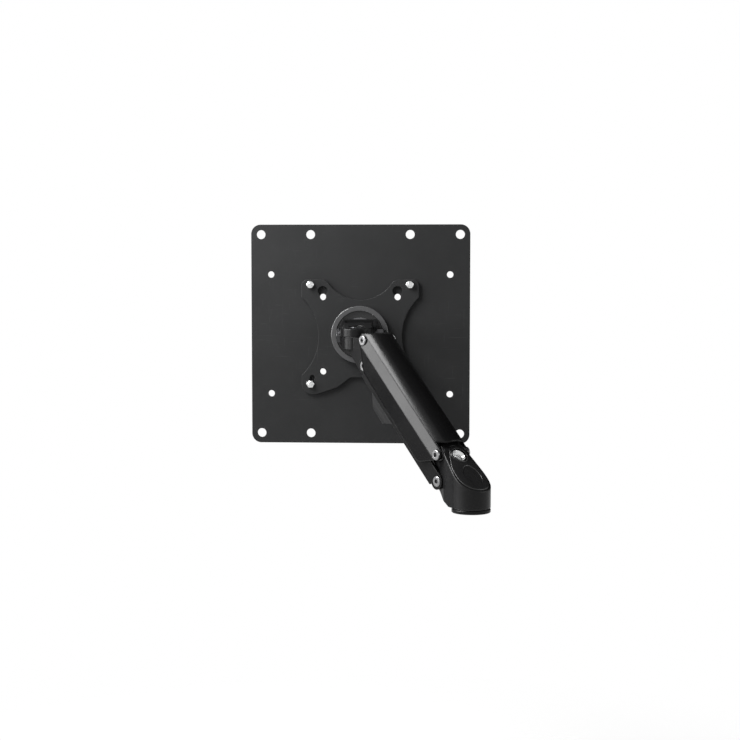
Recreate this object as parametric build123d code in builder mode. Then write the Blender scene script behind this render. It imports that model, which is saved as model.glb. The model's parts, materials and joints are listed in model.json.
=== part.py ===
# Monitor arm: sprung upper arm with a tilting and turning screen head, millimetres
import os
from math import atan2, cos, degrees, hypot, pi, radians, sin, tan

from build123d import *

# Pose: the arm turned from straight behind the screen, and its rise from elbow to head
heading = 40.0
slope = 41.2

# Pivots: z = 0 is the underside of the base collar, on the elbow's turning axis
link_length = 148.0
link_drop = 24.5
link_lead = 3.0
rear_reach = 28.0
rear_height = 49.3
swivel_reach = 34.0
plate_rise = 1.8
plate_reach = 50.0
tilt_reach = 26.0

# Clearances: turning fits, seated fits, faces that slide past, parts that pass freely
turn_gap = 0.05
seat_gap = 0.02
face_gap = 0.2
free_gap = 0.3

# Pivot screws and bushes
pin_radius = 3.75
pin_proud = 0.4
pin_head_radius = 4.8
pin_head = 1.2
pin_chamfer = 0.5
pin_socket = 4.0
pin_socket_depth = 2.6
bush_radius = 5.0
bush_flange_radius = 5.4

# Base collar, pivot tube and its ring
collar_radius = 17.4
collar_height = 3.4
collar_chamfer = 0.6
tube_radius = 10.0
tube_bore = 8.0
tube_height = 22.0
tube_chamfer = 0.6
swivel_bush_wall = 1.5
swivel_bush_flange = 0.8
swivel_bush_rim = 16.0
thrust_thickness = 0.9
thrust_radius = 12.6
ring_thickness = 1.2
ring_depth = 0.7
ring_width = 1.8
ring_opening = 2.4
ring_ear_angle = 20.0
ring_ear_radius = 1.5
ring_play = 0.1

# Elbow housing
elbow_front = 4.0
elbow_back_height = 20.3
elbow_slope = 40.0
elbow_ledge = 17.8
elbow_well = 13.0
elbow_edge = 1.0
elbow_crown = 3.0
neck_half = 10.6
neck_upper_radius = 10.2
neck_lower_radius = 6.4
neck_shoulder_reach = 22.0
neck_shoulder_half = 13.6
neck_end_reach = 31.0
neck_blend = 12.0
nose_reach = 28.8
nose_height = 14.6
chin_reach = 22.2
chin_height = 8.4
chin_start = 13.0
link_room = 10.9
lift_spare = 5.0
pocket_half = 7.5
pocket_rear = 18.0
pocket_floor = 10.0
pocket_roof = 5.2

# Elbow cap
cap_rim = 1.5
cap_depth = 2.5
cap_crown = 0.4
cap_front = 4.0
cap_ring = 9.2
cap_hole = 7.5
cap_edge = 0.5
cap_lip = 1.0
cap_lip_height = 0.5
cap_dish_radius = 8.7
cap_dish_back = 2.0
cap_dish_depth = 0.5
cap_leg_width = 6.0
cap_leg_thickness = 1.6
cap_leg_room = 2.0

# Tension bolt and barrel nut
bolt_reach = 16.8
bolt_fall = 48.3
bolt_radius = 4.0
bolt_head_radius = 6.2
bolt_head_height = 5.0
bolt_recess = 1.5
bolt_head_round = 1.2
bolt_socket = 8.0
bolt_socket_depth = 3.6
bolt_boss_radius = 8.0
bolt_boss_top = 4.2
bolt_boss_depth = 3.0
bolt_length = 26.6
bolt_spot = 6.8
barrel_place = 17.8
barrel_radius = 5.5
barrel_half = 4.3
trunnion_radius = 2.5
trunnion_half = 7.2

# Arm shell: half sections in the plane across the arm, from the upper pivot line
shell_half = 18.2
shell_wall = 2.8
shell_skirt_rear = 23.9
shell_skirt_front = 20.9
shell_bevel_low = 5.0
shell_bevel_high = 5.0
shell_bevel_in = 2.4
shell_top = 13.5
shell_top_wall = 2.5
shell_rear_top = 3.5
shell_notch = 10.0
shell_rear_skirt = 13.5
shell_front_rise = 3.2
shell_front_skirt = 21.0
shell_lug_rear = 6.0
shell_lug_front = 6.5
shell_boss_inner = 13.6
shell_boss_radius = 6.4
shell_corner = 8.0
shell_crease = 0.8
shell_rib = 2.4
shell_rib_first = 34.0
shell_rib_count = 4
shell_rib_drop = 9.5

# Spring anchor in the shell
anchor_back = 36.0
anchor_radius = 4.0
anchor_pad_inner = 11.0
anchor_pad_half = 8.0
anchor_pad_above = 6.5
anchor_pad_drop = 6.2

# Gas spring
spring_radius = 9.0
spring_wall = 1.5
spring_rear = 32.0
spring_stud = 12.0
spring_end = 6.0
spring_groove = 0.6
spring_groove_width = 2.0
spring_groove_place = 9.0
spring_eye_radius = 7.0
spring_eye_half = 5.5
spring_stud_radius = 4.5
rod_radius = 4.0
rod_spare = 8.0
piston_radius = 7.3
piston_length = 8.0
fork_eye_radius = 6.6
fork_eye_slack = 2.3
fork_inner = 4.6
fork_outer = 7.0
fork_throat = 14.0
fork_root = 5.0
fork_half_height = 5.0

# Lower link
link_inner = 12.3
link_wall = 2.3
link_ear = 7.4
link_web_top = 6.7
link_web_bottom = 9.2
link_web_start = 14.0
link_step = 5.0
link_rail = 2.0
link_cheek = 26.0
link_cheek_slant = 10.0
link_slot_length = 26.0
link_slot_width = 8.0
link_slot_first = 36.0
link_slot_pitch = 32.0
link_slot_count = 2

# Cable clip
clip_back = 47.3
clip_length = 41.0
clip_bottom = 14.0
clip_depth = 13.0
clip_wall = 2.0
clip_mouth = 9.0
clip_corner = 5.0
clip_foot = 7.0

# Front link
front_upper_radius = 6.9
front_lower_radius = 8.0
barrel_outer = 14.4
barrel_height = 12.3
barrel_edge = 0.8
barrel_wall_below = 5.4

# Swivel bolt
swivel_radius = 5.0
swivel_head_radius = 7.0
swivel_head_height = 2.4
swivel_head_round = 0.6
swivel_socket = 6.0
swivel_socket_depth = 1.6
swivel_washer = 0.8
swivel_nut_flats = 14.0
swivel_nut_height = 4.6
swivel_friction = 0.6

# Head knuckle
lug_radius = 15.6
lug_height = 9.8
lug_lean = 7.0
lug_seat = 6.4
lug_seat_radius = 7.7
knuckle_barrel = 8.5
knuckle_half = 13.7
knuckle_edge = 0.8

# Tilt clevis, its bolt and washers
ear_gap = 0.65
ear_thickness = 3.2
ear_tip = 9.5
ear_root_half = 14.5
ear_edge = 0.6
clevis_base = 3.0
clevis_base_half = 15.5
tilt_bolt_radius = 4.0
tilt_head_flats = 13.0
tilt_head_height = 2.6
tilt_washer_radius = 8.0
tilt_washer = 0.55
tilt_outer_washer = 1.2
tilt_nut_flats = 13.0
tilt_nut_height = 6.5
tilt_collar_height = 2.2
tilt_collar_radius = 5.4
tilt_thread_proud = 1.5

# Rotation disc, its bolt and washers
disc_radius = 28.8
disc_base = 3.4
disc_rim_height = 2.2
disc_rim_width = 5.0
disc_edge = 0.9
rotation_washer = 0.8
rotation_washer_radius = 17.0
rotation_radius = 5.0
rotation_head_radius = 9.0
rotation_head = 2.0
rotation_nut_flats = 16.0
rotation_nut_height = 3.8
rotation_nut_washer = 1.2
rotation_nut_washer_radius = 10.0
rotation_thread_proud = 0.8

# Head plate
vesa_thickness = 3.0
vesa_side_margin = 9.0
vesa_top_margin = 5.0
vesa_bottom_margin = 10.5
vesa_top_dip = 34.6
vesa_top_lug = 25.0
vesa_side_dip = 42.0
vesa_side_above = 18.0
vesa_side_below = 19.5
vesa_bottom_dip = 43.3
vesa_bottom_lug = 15.0
vesa_bottom_flat = 10.0
vesa_step_half = 22.5
vesa_step_rise = 7.3
vesa_step_blend = 6.0
vesa_corner = 6.0
vesa_blend = 9.0
vesa_lug = 11.0
vesa_hole = 6.4
vesa_small = 75.0
vesa_large = 100.0
vesa_key = 10.0
vesa_key_rise = 6.0
vesa_slot = 5.0
vesa_slot_rise = 6.5
vesa_slot_shift = 1.8
vesa_edge = 0.4

# Adapter plate
plate_margin = 10.0
plate_thickness = 2.5
plate_corner = 9.5
plate_hole = 9.0
plate_outer_pitch = 200.0
plate_inner_pitch = 100.0
plate_side_hole = 6.5
plate_side_pitch_x = 180.0
plate_side_pitch_z = 120.0
plate_centre_hole = 20.0
plate_edge = 0.35

# Screws and nuts that join the plates
screw_radius = 2.0
screw_head_radius = 3.8
screw_head_height = 1.8
screw_socket = 2.5
screw_socket_depth = 1.2
screw_proud = 1.0
nut_flats = 7.0
nut_height = 3.2
nut_chamfer = 0.8

# Directions and places worked out from the sizes above
turn = radians(heading)
rise = radians(slope)
top_angle = radians(elbow_slope)
fall = radians(bolt_fall)
up = Vector(0, 0, 1)
forward = Vector(-sin(turn), cos(turn), 0)
left = Vector(-cos(turn), -sin(turn), 0)
right = left * -1
along = forward * cos(rise) + up * sin(rise)
across = up * cos(rise) - forward * sin(rise)

link_outer_face = link_inner + link_wall
shell_inner = shell_half - shell_wall
front_reach = rear_reach + link_length * cos(rise)
front_height = rear_height + link_length * sin(rise)
swivel_at = forward * (front_reach + swivel_reach)
plate_height = front_height + plate_rise
plate_centre = swivel_at + Vector(0, plate_reach, plate_height)
rear_upper = forward * rear_reach + up * rear_height
rear_lower = rear_upper + forward * link_lead - up * link_drop
front_upper = forward * front_reach + up * front_height
front_lower = front_upper + forward * link_lead - up * link_drop

side = Plane(origin=(0, 0, 0), x_dir=forward, z_dir=right)
floor = Plane(origin=(0, 0, 0), x_dir=forward, z_dir=up)
shell_side = Plane(origin=rear_upper, x_dir=along, z_dir=right)
link_side = Plane(origin=rear_lower, x_dir=along, z_dir=right)
face = Plane(origin=plate_centre, x_dir=(1, 0, 0), z_dir=(0, -1, 0))
swivel_floor = Plane(origin=swivel_at + up * plate_height, x_dir=(1, 0, 0), z_dir=up)
tilt_axis = plate_centre - Vector(0, tilt_reach, 0)
tilt_side = Plane(origin=tilt_axis, x_dir=(0, 1, 0), z_dir=(1, 0, 0))

elbow_base = collar_height + swivel_bush_flange + face_gap
slope_origin = up * elbow_back_height - forward * collar_radius
slope_normal = up * cos(top_angle) - forward * sin(top_angle)
slope_run = forward * cos(top_angle) + up * sin(top_angle)
slope_cross = Plane(origin=slope_origin, x_dir=left, z_dir=slope_run)
crown_radius = (collar_radius**2 + elbow_crown**2) / (2 * elbow_crown)
bolt_start_height = elbow_back_height + (bolt_reach + collar_radius) * tan(top_angle)
bolt_start = forward * bolt_reach + up * bolt_start_height
bolt_run = forward * cos(fall) - up * sin(fall)
bolt_seat = bolt_head_height + bolt_recess
barrel_at = bolt_start + bolt_run * barrel_place
trunnion_from = barrel_at - rear_upper
fork_eye_place = trunnion_from.dot(along)
spring_drop = (trunnion_from.length - trunnion_from.dot(across)) / 2
anchor_place = link_length - anchor_back
spring_front = anchor_place - spring_stud
rod_length = spring_front - spring_rear - rod_spare
clip_place = link_length - clip_back
shell_rib_pitch = (link_length - 2 * shell_rib_first) / (shell_rib_count - 1)
vesa_half = vesa_large / 2 + vesa_side_margin
vesa_top = vesa_large / 2 + vesa_top_margin
vesa_bottom = vesa_large / 2 + vesa_bottom_margin
vesa_top_dip_half = vesa_half - vesa_top_lug
vesa_bottom_dip_half = vesa_half - vesa_bottom_lug
vesa_side_high = vesa_top - vesa_side_above
vesa_side_low = vesa_bottom - vesa_side_below
vesa_step = vesa_bottom - vesa_step_rise
plate_side = plate_outer_pitch + 2 * plate_margin
hex_sides = 6
hex_corner = cos(pi / hex_sides)
large = 4 * plate_side
reach = 2 * rear_height


def side_disc(place, offset, outward=1):
    """A plane across a pivot's axis, the given distance out to one side."""
    return Plane(origin=place + left * offset * outward, x_dir=forward, z_dir=left * outward)


def bolt_plane(distance):
    """A plane across the tension bolt, the given distance down its axis."""
    return Plane(origin=bolt_start + bolt_run * distance, x_dir=left, z_dir=bolt_run)


def arm_cross(distance, height=0.0):
    """A plane across the arm, the given distance along it and height above its pivot line."""
    return Plane(origin=rear_upper + along * distance + across * height, x_dir=left, z_dir=along)


def out(distance):
    """A plane parallel to the adapter plate, the given distance out from its back."""
    return face.offset(distance)


def pivot_screws(place, inner, outer):
    """A pair of socketed pivot screws, one on each side of the arm."""
    with BuildPart() as pair:
        with BuildSketch(side_disc(place, inner)):
            Circle(pin_radius)
        extrude(amount=outer - inner)
        with BuildSketch(side_disc(place, outer)):
            Circle(pin_head_radius)
        extrude(amount=-pin_head)
        rims = pair.edges().filter_by(GeomType.CIRCLE).group_by(Axis(place, left))
        chamfer(rims[0] + rims[-1], pin_chamfer)
        with BuildSketch(side_disc(place, outer)):
            RegularPolygon(pin_socket / 2, hex_sides, major_radius=False)
        extrude(amount=-pin_socket_depth, mode=Mode.SUBTRACT)
        mirror(about=side)
    return pair


def pivot_bushes(place, inner, seat, outer):
    """A pair of flanged bushes, one on each side of a pivot."""
    with BuildPart() as pair:
        with BuildSketch(side_disc(place, inner)):
            Circle(bush_radius)
        extrude(amount=seat - inner)
        with BuildSketch(side_disc(place, seat)):
            Circle(bush_flange_radius)
        extrude(amount=outer - seat)
        with BuildSketch(side_disc(place, inner)):
            Circle(pin_radius + turn_gap)
        extrude(amount=outer - inner, mode=Mode.SUBTRACT)
        mirror(about=side)
    return pair


def hexagon(plane, flats, height, bore=0.0, pitch=0.0, rows=1):
    """A hexagon chamfered at its outer corners, bored if asked for, in a square grid of rows."""
    with BuildPart() as nut:
        with BuildSketch(plane):
            with GridLocations(pitch, pitch, rows, rows):
                Circle(flats / 2 / hex_corner)
        extrude(amount=height)
        outer_end = Axis(plane.origin, plane.z_dir)
        chamfer(nut.edges().filter_by(GeomType.CIRCLE).group_by(outer_end)[-1], nut_chamfer)
        with BuildSketch(plane):
            with GridLocations(pitch, pitch, rows, rows):
                RegularPolygon(flats / 2, hex_sides, major_radius=False)
                if bore:
                    Circle(bore, mode=Mode.SUBTRACT)
        extrude(amount=height, mode=Mode.INTERSECT)
    return nut


def washer(plane, inner, outer, thickness):
    """A flat ring."""
    with BuildPart() as ring:
        with BuildSketch(plane):
            Circle(outer)
            Circle(inner, mode=Mode.SUBTRACT)
        extrude(amount=thickness)
    return ring


def head_seats(places, outer):
    """Seats of the pivot screws' heads, cut into both sides of the piece being built."""
    for place in places:
        for hand in (1, -1):
            with BuildSketch(side_disc(place, outer + pin_proud - pin_head, hand)) as seat:
                Circle(pin_head_radius + seat_gap)
            extrude(seat.sketch, amount=pin_head, mode=Mode.SUBTRACT)


def slope_arch(offset):
    """The round section of the bar that gives the elbow's top its arch, raised by the offset."""
    with Locations((0, -crown_radius)):
        Circle(crown_radius + offset)


parts = {}

# Base collar: a band with a rounded lip, bored for the pivot tube
with BuildPart() as pivot_collar:
    with BuildSketch(floor):
        Circle(collar_radius)
        Circle(tube_radius + seat_gap, mode=Mode.SUBTRACT)
    extrude(amount=collar_height)
    chamfer(pivot_collar.edges().filter_by(GeomType.CIRCLE).group_by(SortBy.RADIUS)[-1], collar_chamfer)
parts["pivot_collar"] = pivot_collar

# Pivot tube with a groove for the retaining ring near its top
ring_low = elbow_ledge + thrust_thickness + 2 * ring_play
with BuildPart() as pivot_tube:
    with BuildSketch(floor):
        Circle(tube_radius)
        Circle(tube_bore, mode=Mode.SUBTRACT)
    extrude(amount=tube_height)
    chamfer(pivot_tube.edges().filter_by(GeomType.CIRCLE).group_by(Axis.Z)[-1], tube_chamfer)
    with BuildSketch(floor.offset(ring_low - seat_gap)):
        Circle(tube_radius)
        Circle(tube_radius - ring_depth, mode=Mode.SUBTRACT)
    extrude(amount=ring_thickness + 2 * seat_gap, mode=Mode.SUBTRACT)
parts["pivot_tube"] = pivot_tube

# Retaining ring, open on one side, with two drilled ears
with BuildPart() as retaining_ring:
    with BuildSketch(floor.offset(ring_low)):
        Circle(tube_radius - ring_depth + ring_width)
        for angle in (-ring_ear_angle, ring_ear_angle):
            with PolarLocations(tube_radius + ring_ear_radius, 1, angle):
                Circle(ring_ear_radius)
        Circle(tube_radius - ring_depth + seat_gap, mode=Mode.SUBTRACT)
        with Locations((tube_radius, 0)):
            Rectangle(tube_radius, ring_opening, mode=Mode.SUBTRACT)
    extrude(amount=ring_thickness)
parts["retaining_ring"] = retaining_ring

parts["thrust_washer"] = washer(
    floor.offset(elbow_ledge + ring_play), tube_radius + turn_gap, thrust_radius, thrust_thickness
)

# Flanged bush between the pivot tube and the elbow
swivel_bush_outer = tube_radius + turn_gap + swivel_bush_wall
with BuildPart() as swivel_bush:
    with BuildSketch(floor.offset(collar_height + face_gap)):
        Circle(swivel_bush_rim)
    extrude(amount=swivel_bush_flange)
    with BuildSketch(floor.offset(elbow_base)):
        Circle(swivel_bush_outer)
    extrude(amount=elbow_ledge - elbow_base)
    with BuildSketch(floor):
        Circle(tube_radius + turn_gap)
    extrude(amount=elbow_ledge, mode=Mode.SUBTRACT)
parts["swivel_bush"] = swivel_bush


def cap_outline(inset):
    """The cap's outline seen from above: a wide round end that narrows to a ring about the bolt."""
    half = collar_radius - cap_rim - inset
    for place, radius in ((0, half), (cap_front, half), (bolt_reach, cap_ring - inset)):
        with Locations((place, 0)):
            Circle(radius)
    make_hull()


# Space for the cap in the elbow's top
with BuildPart() as cap_space:
    with BuildSketch(floor):
        cap_outline(0)
    extrude(amount=reach)
    with BuildSketch(slope_cross):
        slope_arch(-cap_depth)
    extrude(amount=large, both=True, mode=Mode.SUBTRACT)

# Elbow housing: round socket, arched sloping top and a narrowing neck that carries the rear pivots
link_swing = rise + radians(lift_spare)
lower_pivot = rear_reach + link_lead, rear_height - link_drop
swing_start = (
    lower_pivot[0] - (link_ear + free_gap) * sin(link_swing),
    lower_pivot[1] + (link_ear + free_gap) * cos(link_swing),
)
swing_end = (swing_start[0] + reach * cos(link_swing), swing_start[1] + reach * sin(link_swing))
with BuildPart() as elbow_housing:
    with BuildSketch(floor.offset(elbow_base)) as elbow_plan:
        Circle(collar_radius)
        with BuildLine():
            Polyline(
                (0, collar_radius),
                (elbow_front, collar_radius),
                (neck_shoulder_reach, neck_shoulder_half),
                (neck_end_reach, neck_half),
                (reach, neck_half),
                (reach, -neck_half),
                (neck_end_reach, -neck_half),
                (neck_shoulder_reach, -neck_shoulder_half),
                (elbow_front, -collar_radius),
                (0, -collar_radius),
                close=True,
            )
        make_face()
        bends = elbow_plan.vertices().filter_by(lambda v: seat_gap < v.X < reach - seat_gap)
        fillet(bends, neck_blend)
    extrude(amount=reach)
    with BuildSketch(side):
        with Locations((rear_reach, rear_height)):
            Circle(neck_upper_radius)
        with Locations(lower_pivot):
            Circle(neck_lower_radius)
        Polygon(
            (-collar_radius, elbow_base),
            (chin_start, elbow_base),
            (chin_reach, chin_height),
            (nose_reach, nose_height),
            (rear_reach, rear_height),
            (-collar_radius, rear_height + neck_upper_radius),
            align=None,
        )
        make_hull()
    extrude(amount=2 * collar_radius, both=True, mode=Mode.INTERSECT)
    with BuildSketch(slope_cross):
        slope_arch(0)
    extrude(amount=large, both=True, mode=Mode.INTERSECT)
    top_face = elbow_housing.faces().sort_by(Axis(slope_origin, slope_normal))[-1]
    fillet(top_face.edges().sort_by(Axis(slope_origin, forward))[:-1], elbow_edge)
    for hand in (1, -1):
        with BuildSketch(side.offset(hand * (link_inner - free_gap))):
            with Locations(lower_pivot):
                Circle(link_ear + free_gap)
            Polygon(
                lower_pivot,
                (lower_pivot[0] - link_step / 2, lower_pivot[1] - link_room),
                (lower_pivot[0] + reach, lower_pivot[1] - link_room),
                (lower_pivot[0] + reach, lower_pivot[1]),
                swing_end,
                swing_start,
                align=None,
            )
        extrude(amount=hand * collar_radius, mode=Mode.SUBTRACT)
        with BuildSketch(side_disc(rear_upper, shell_boss_inner - free_gap, hand)):
            Circle(shell_boss_radius + free_gap)
        extrude(amount=collar_radius, mode=Mode.SUBTRACT)
        for pivot in (rear_upper, rear_lower):
            with BuildSketch(side_disc(pivot, neck_half, hand)):
                Circle(bush_flange_radius + free_gap)
            extrude(amount=collar_radius, mode=Mode.SUBTRACT)
    add(cap_space.part, mode=Mode.SUBTRACT)
    with BuildSketch(floor.offset(elbow_ledge)):
        Circle(elbow_well)
    extrude(amount=elbow_back_height + elbow_well, mode=Mode.SUBTRACT)
    with BuildSketch(floor.offset(elbow_base)):
        Circle(swivel_bush_outer + seat_gap)
    extrude(amount=elbow_ledge, mode=Mode.SUBTRACT)
    with BuildSketch(side):
        roof_rise = (pocket_rear - bolt_reach) * tan(top_angle)
        roof_start = bolt_start_height + roof_rise - pocket_roof / cos(top_angle)
        roof_end = roof_start + (reach - pocket_rear) * tan(top_angle)
        Polygon(
            (pocket_rear, pocket_floor),
            (reach, pocket_floor),
            (reach, roof_end),
            (pocket_rear, roof_start),
            align=None,
        )
    extrude(amount=pocket_half, both=True, mode=Mode.SUBTRACT)
    with BuildSketch(bolt_plane(bolt_boss_top)):
        Circle(bolt_boss_radius)
    extrude(amount=bolt_seat + bolt_boss_depth - bolt_boss_top)
    with BuildSketch(bolt_plane(bolt_seat)):
        Circle(bolt_spot)
    extrude(amount=-large, mode=Mode.SUBTRACT)
    with BuildSketch(bolt_plane(bolt_seat)):
        Circle(bolt_radius + free_gap)
    extrude(amount=bolt_boss_depth + bolt_seat, mode=Mode.SUBTRACT)
    for pivot in (rear_upper, rear_lower):
        with BuildSketch(side_disc(pivot, 0)):
            Circle(bush_radius + seat_gap)
        extrude(amount=collar_radius, both=True, mode=Mode.SUBTRACT)
parts["elbow_housing"] = elbow_housing

# Round dish in the cap, over the elbow's turning axis
with BuildPart() as cap_dish:
    with BuildSketch(floor):
        with Locations((-cap_dish_back, 0)):
            Circle(cap_dish_radius)
    extrude(amount=reach)
    with BuildSketch(slope_cross):
        slope_arch(cap_crown - cap_dish_depth)
    extrude(amount=large, both=True, mode=Mode.SUBTRACT)

# Elbow cap: arched cover with a lipped opening for the bolt, the dish and two snap legs
with BuildPart() as elbow_cap:
    with BuildSketch(floor):
        cap_outline(face_gap)
    extrude(amount=reach)
    with BuildSketch(slope_cross):
        slope_arch(cap_crown)
    extrude(amount=large, both=True, mode=Mode.INTERSECT)
    with BuildSketch(slope_cross):
        slope_arch(seat_gap - cap_depth)
    extrude(amount=large, both=True, mode=Mode.SUBTRACT)
    crown_face = elbow_cap.faces().sort_by(Axis(slope_origin, slope_normal))[-1]
    fillet(crown_face.edges(), cap_edge)
    add(cap_dish.part, mode=Mode.SUBTRACT)
    with BuildSketch(bolt_plane(-cap_crown - cap_lip_height)):
        Circle(cap_hole + cap_lip)
    extrude(amount=cap_crown + cap_lip_height + cap_edge)
    with BuildSketch(bolt_plane(0)):
        Circle(cap_hole)
    extrude(amount=reach, both=True, mode=Mode.SUBTRACT)
    with BuildSketch(floor.offset(tube_height + cap_leg_room)):
        with GridLocations(0, 2 * (elbow_well - cap_leg_thickness - free_gap), 1, 2):
            Rectangle(cap_leg_width, cap_leg_thickness)
    extrude(until=Until.NEXT)
parts["elbow_cap"] = elbow_cap

# Tension bolt: socket head and shank
with BuildPart() as tension_bolt:
    with BuildSketch(bolt_plane(bolt_recess)):
        Circle(bolt_head_radius)
    extrude(amount=bolt_head_height)
    head_rim = tension_bolt.edges().filter_by(GeomType.CIRCLE).sort_by(Axis(bolt_start, bolt_run))[0]
    fillet(head_rim, bolt_head_round)
    with BuildSketch(bolt_plane(bolt_seat)):
        Circle(bolt_radius)
    extrude(amount=bolt_length - bolt_seat)
    with BuildSketch(bolt_plane(bolt_recess)):
        RegularPolygon(bolt_socket / 2, hex_sides, major_radius=False)
    extrude(amount=bolt_socket_depth, mode=Mode.SUBTRACT)
parts["tension_bolt"] = tension_bolt

# Barrel nut with a trunnion on each side for the gas spring's fork
with BuildPart() as barrel_nut:
    with BuildSketch(side_disc(barrel_at, 0)):
        Circle(barrel_radius)
    extrude(amount=barrel_half, both=True)
    with BuildSketch(side_disc(barrel_at, 0)):
        Circle(trunnion_radius)
    extrude(amount=trunnion_half, both=True)
    with BuildSketch(bolt_plane(barrel_place)):
        Circle(bolt_radius + turn_gap)
    extrude(amount=2 * barrel_radius, both=True, mode=Mode.SUBTRACT)
parts["barrel_nut"] = barrel_nut


def shell_section(inset, top_inset):
    """The shell's cross section: straight skirt, bevelled shoulder and arched top."""
    half = shell_half - inset
    shoulder = half - shell_bevel_in
    high = shell_bevel_high
    with BuildLine() as section:
        Polyline((-shoulder, high), (-half, -shell_bevel_low), (-half, -2 * shell_skirt_rear))
        Line((-half, -2 * shell_skirt_rear), (half, -2 * shell_skirt_rear))
        Polyline((half, -2 * shell_skirt_rear), (half, -shell_bevel_low), (shoulder, high))
        ThreePointArc((shoulder, high), (0, shell_top - top_inset), (-shoulder, high))
    make_face(section.edges())


# Hollow of the arm shell: bosses, ribs and anchor pads are left standing in it
shell_end = link_length + shell_lug_front
with BuildPart() as shell_hollow:
    with BuildSketch(arm_cross(-shell_half)):
        shell_section(shell_wall, shell_top_wall)
    extrude(amount=shell_end + 2 * shell_half)
    for pivot, radius in ((rear_upper, neck_upper_radius), (front_upper, bush_flange_radius)):
        with BuildSketch(side_disc(pivot, 0)):
            Circle(radius + free_gap)
        extrude(amount=shell_boss_inner, both=True)
    for hand in (1, -1):
        for pivot in (rear_upper, front_upper):
            with BuildSketch(side_disc(pivot, shell_boss_inner, hand)):
                Circle(shell_boss_radius)
            extrude(amount=shell_half, mode=Mode.SUBTRACT)
        pad_start = rear_upper + left * hand * anchor_pad_inner
        pad_plane = Plane(origin=pad_start, x_dir=along, z_dir=left * hand)
        pad_height = anchor_pad_above + anchor_pad_drop
        with BuildSketch(pad_plane):
            with Locations((anchor_place, hand * (spring_drop + anchor_pad_drop - pad_height / 2))):
                Rectangle(2 * anchor_pad_half, pad_height)
        extrude(amount=shell_half, mode=Mode.SUBTRACT)
    for number in range(shell_rib_count):
        with BuildSketch(arm_cross(shell_rib_first + number * shell_rib_pitch)):
            with Locations((0, shell_top - shell_rib_drop / 2)):
                Rectangle(large, shell_rib_drop)
        extrude(amount=shell_rib, mode=Mode.SUBTRACT)

# Arm shell: arched cover with a bevelled shoulder, and lugs at both ends
with BuildPart() as arm_shell:
    with BuildSketch(arm_cross(-shell_lug_rear)) as shell_skin:
        shell_section(0, 0)
        creases = [v for v in shell_skin.vertices() if v.Y > -shell_skirt_rear]
        fillet(creases, shell_crease)
    extrude(amount=shell_end + shell_lug_rear)
    with BuildSketch(shell_side) as shell_profile:
        with BuildLine():
            Polyline(
                (shell_rear_top, 2 * shell_top),
                (shell_rear_top, shell_top - shell_top_wall),
                (shell_notch, shell_lug_rear),
                (0, shell_lug_rear),
                (-shell_lug_rear, 0),
                (shell_rear_skirt, -shell_skirt_rear),
                (link_length - shell_front_skirt, -shell_skirt_front),
                (shell_end, 0),
                (shell_end, shell_front_rise),
                (shell_end - (2 * shell_top - shell_front_rise) / tan(rise), 2 * shell_top),
                close=True,
            )
        make_face()
        low_corners = shell_profile.vertices().filter_by(lambda v: v.Y < -shell_lug_rear - shell_lug_front)
        fillet(low_corners, shell_corner)
        nose_corners = shell_profile.vertices().filter_by(lambda v: v.X > shell_end - shell_lug_front / 2)
        fillet(nose_corners, shell_crease)
        tail_corners = shell_profile.vertices().filter_by(
            lambda v: v.X < shell_rear_top / 2 and v.Y > -shell_top
        )
        fillet(tail_corners, shell_lug_rear / 2)
    extrude(amount=2 * shell_half, both=True, mode=Mode.INTERSECT)
    add(shell_hollow.part, mode=Mode.SUBTRACT)
    with BuildSketch(shell_side):
        with Locations((anchor_place, -spring_drop)):
            Circle(anchor_radius + seat_gap)
        with Locations((anchor_place, -2 * spring_drop)):
            Rectangle(2 * (anchor_radius + seat_gap), 2 * spring_drop)
    extrude(amount=shell_inner - face_gap, both=True, mode=Mode.SUBTRACT)
    for pivot in (rear_upper, front_upper):
        with BuildSketch(side_disc(pivot, 0)):
            Circle(pin_radius + seat_gap)
        extrude(amount=2 * shell_half, both=True, mode=Mode.SUBTRACT)
    head_seats((rear_upper, front_upper), shell_half)
parts["arm_shell"] = arm_shell

# Gas spring cylinder: crimped tube, rear gland and front eye
with BuildPart() as gas_cylinder:
    with BuildSketch(arm_cross(spring_rear, -spring_drop)):
        Circle(spring_radius)
    extrude(amount=spring_front - spring_rear)
    fillet(gas_cylinder.edges().filter_by(GeomType.CIRCLE), spring_wall)
    for place in (spring_rear + spring_groove_place, spring_front - spring_groove_place):
        with BuildSketch(arm_cross(place, -spring_drop)):
            Circle(spring_radius)
            Circle(spring_radius - spring_groove, mode=Mode.SUBTRACT)
        extrude(amount=spring_groove_width, mode=Mode.SUBTRACT)
    with BuildSketch(arm_cross(spring_front, -spring_drop)):
        Circle(spring_stud_radius)
    extrude(amount=anchor_place - spring_front)
    with BuildSketch(shell_side):
        with Locations((anchor_place, -spring_drop)):
            Circle(spring_eye_radius)
    extrude(amount=spring_eye_half, both=True)
    with BuildSketch(shell_side):
        with Locations((anchor_place, -spring_drop)):
            Circle(anchor_radius + seat_gap)
    extrude(amount=shell_half, both=True, mode=Mode.SUBTRACT)
    with BuildSketch(arm_cross(spring_rear + spring_end, -spring_drop)):
        Circle(spring_radius - spring_wall)
    extrude(amount=spring_front - spring_rear - 2 * spring_end, mode=Mode.SUBTRACT)
    with BuildSketch(arm_cross(spring_rear, -spring_drop)):
        Circle(rod_radius + turn_gap)
    extrude(amount=spring_end, mode=Mode.SUBTRACT)
parts["gas_cylinder"] = gas_cylinder

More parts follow.
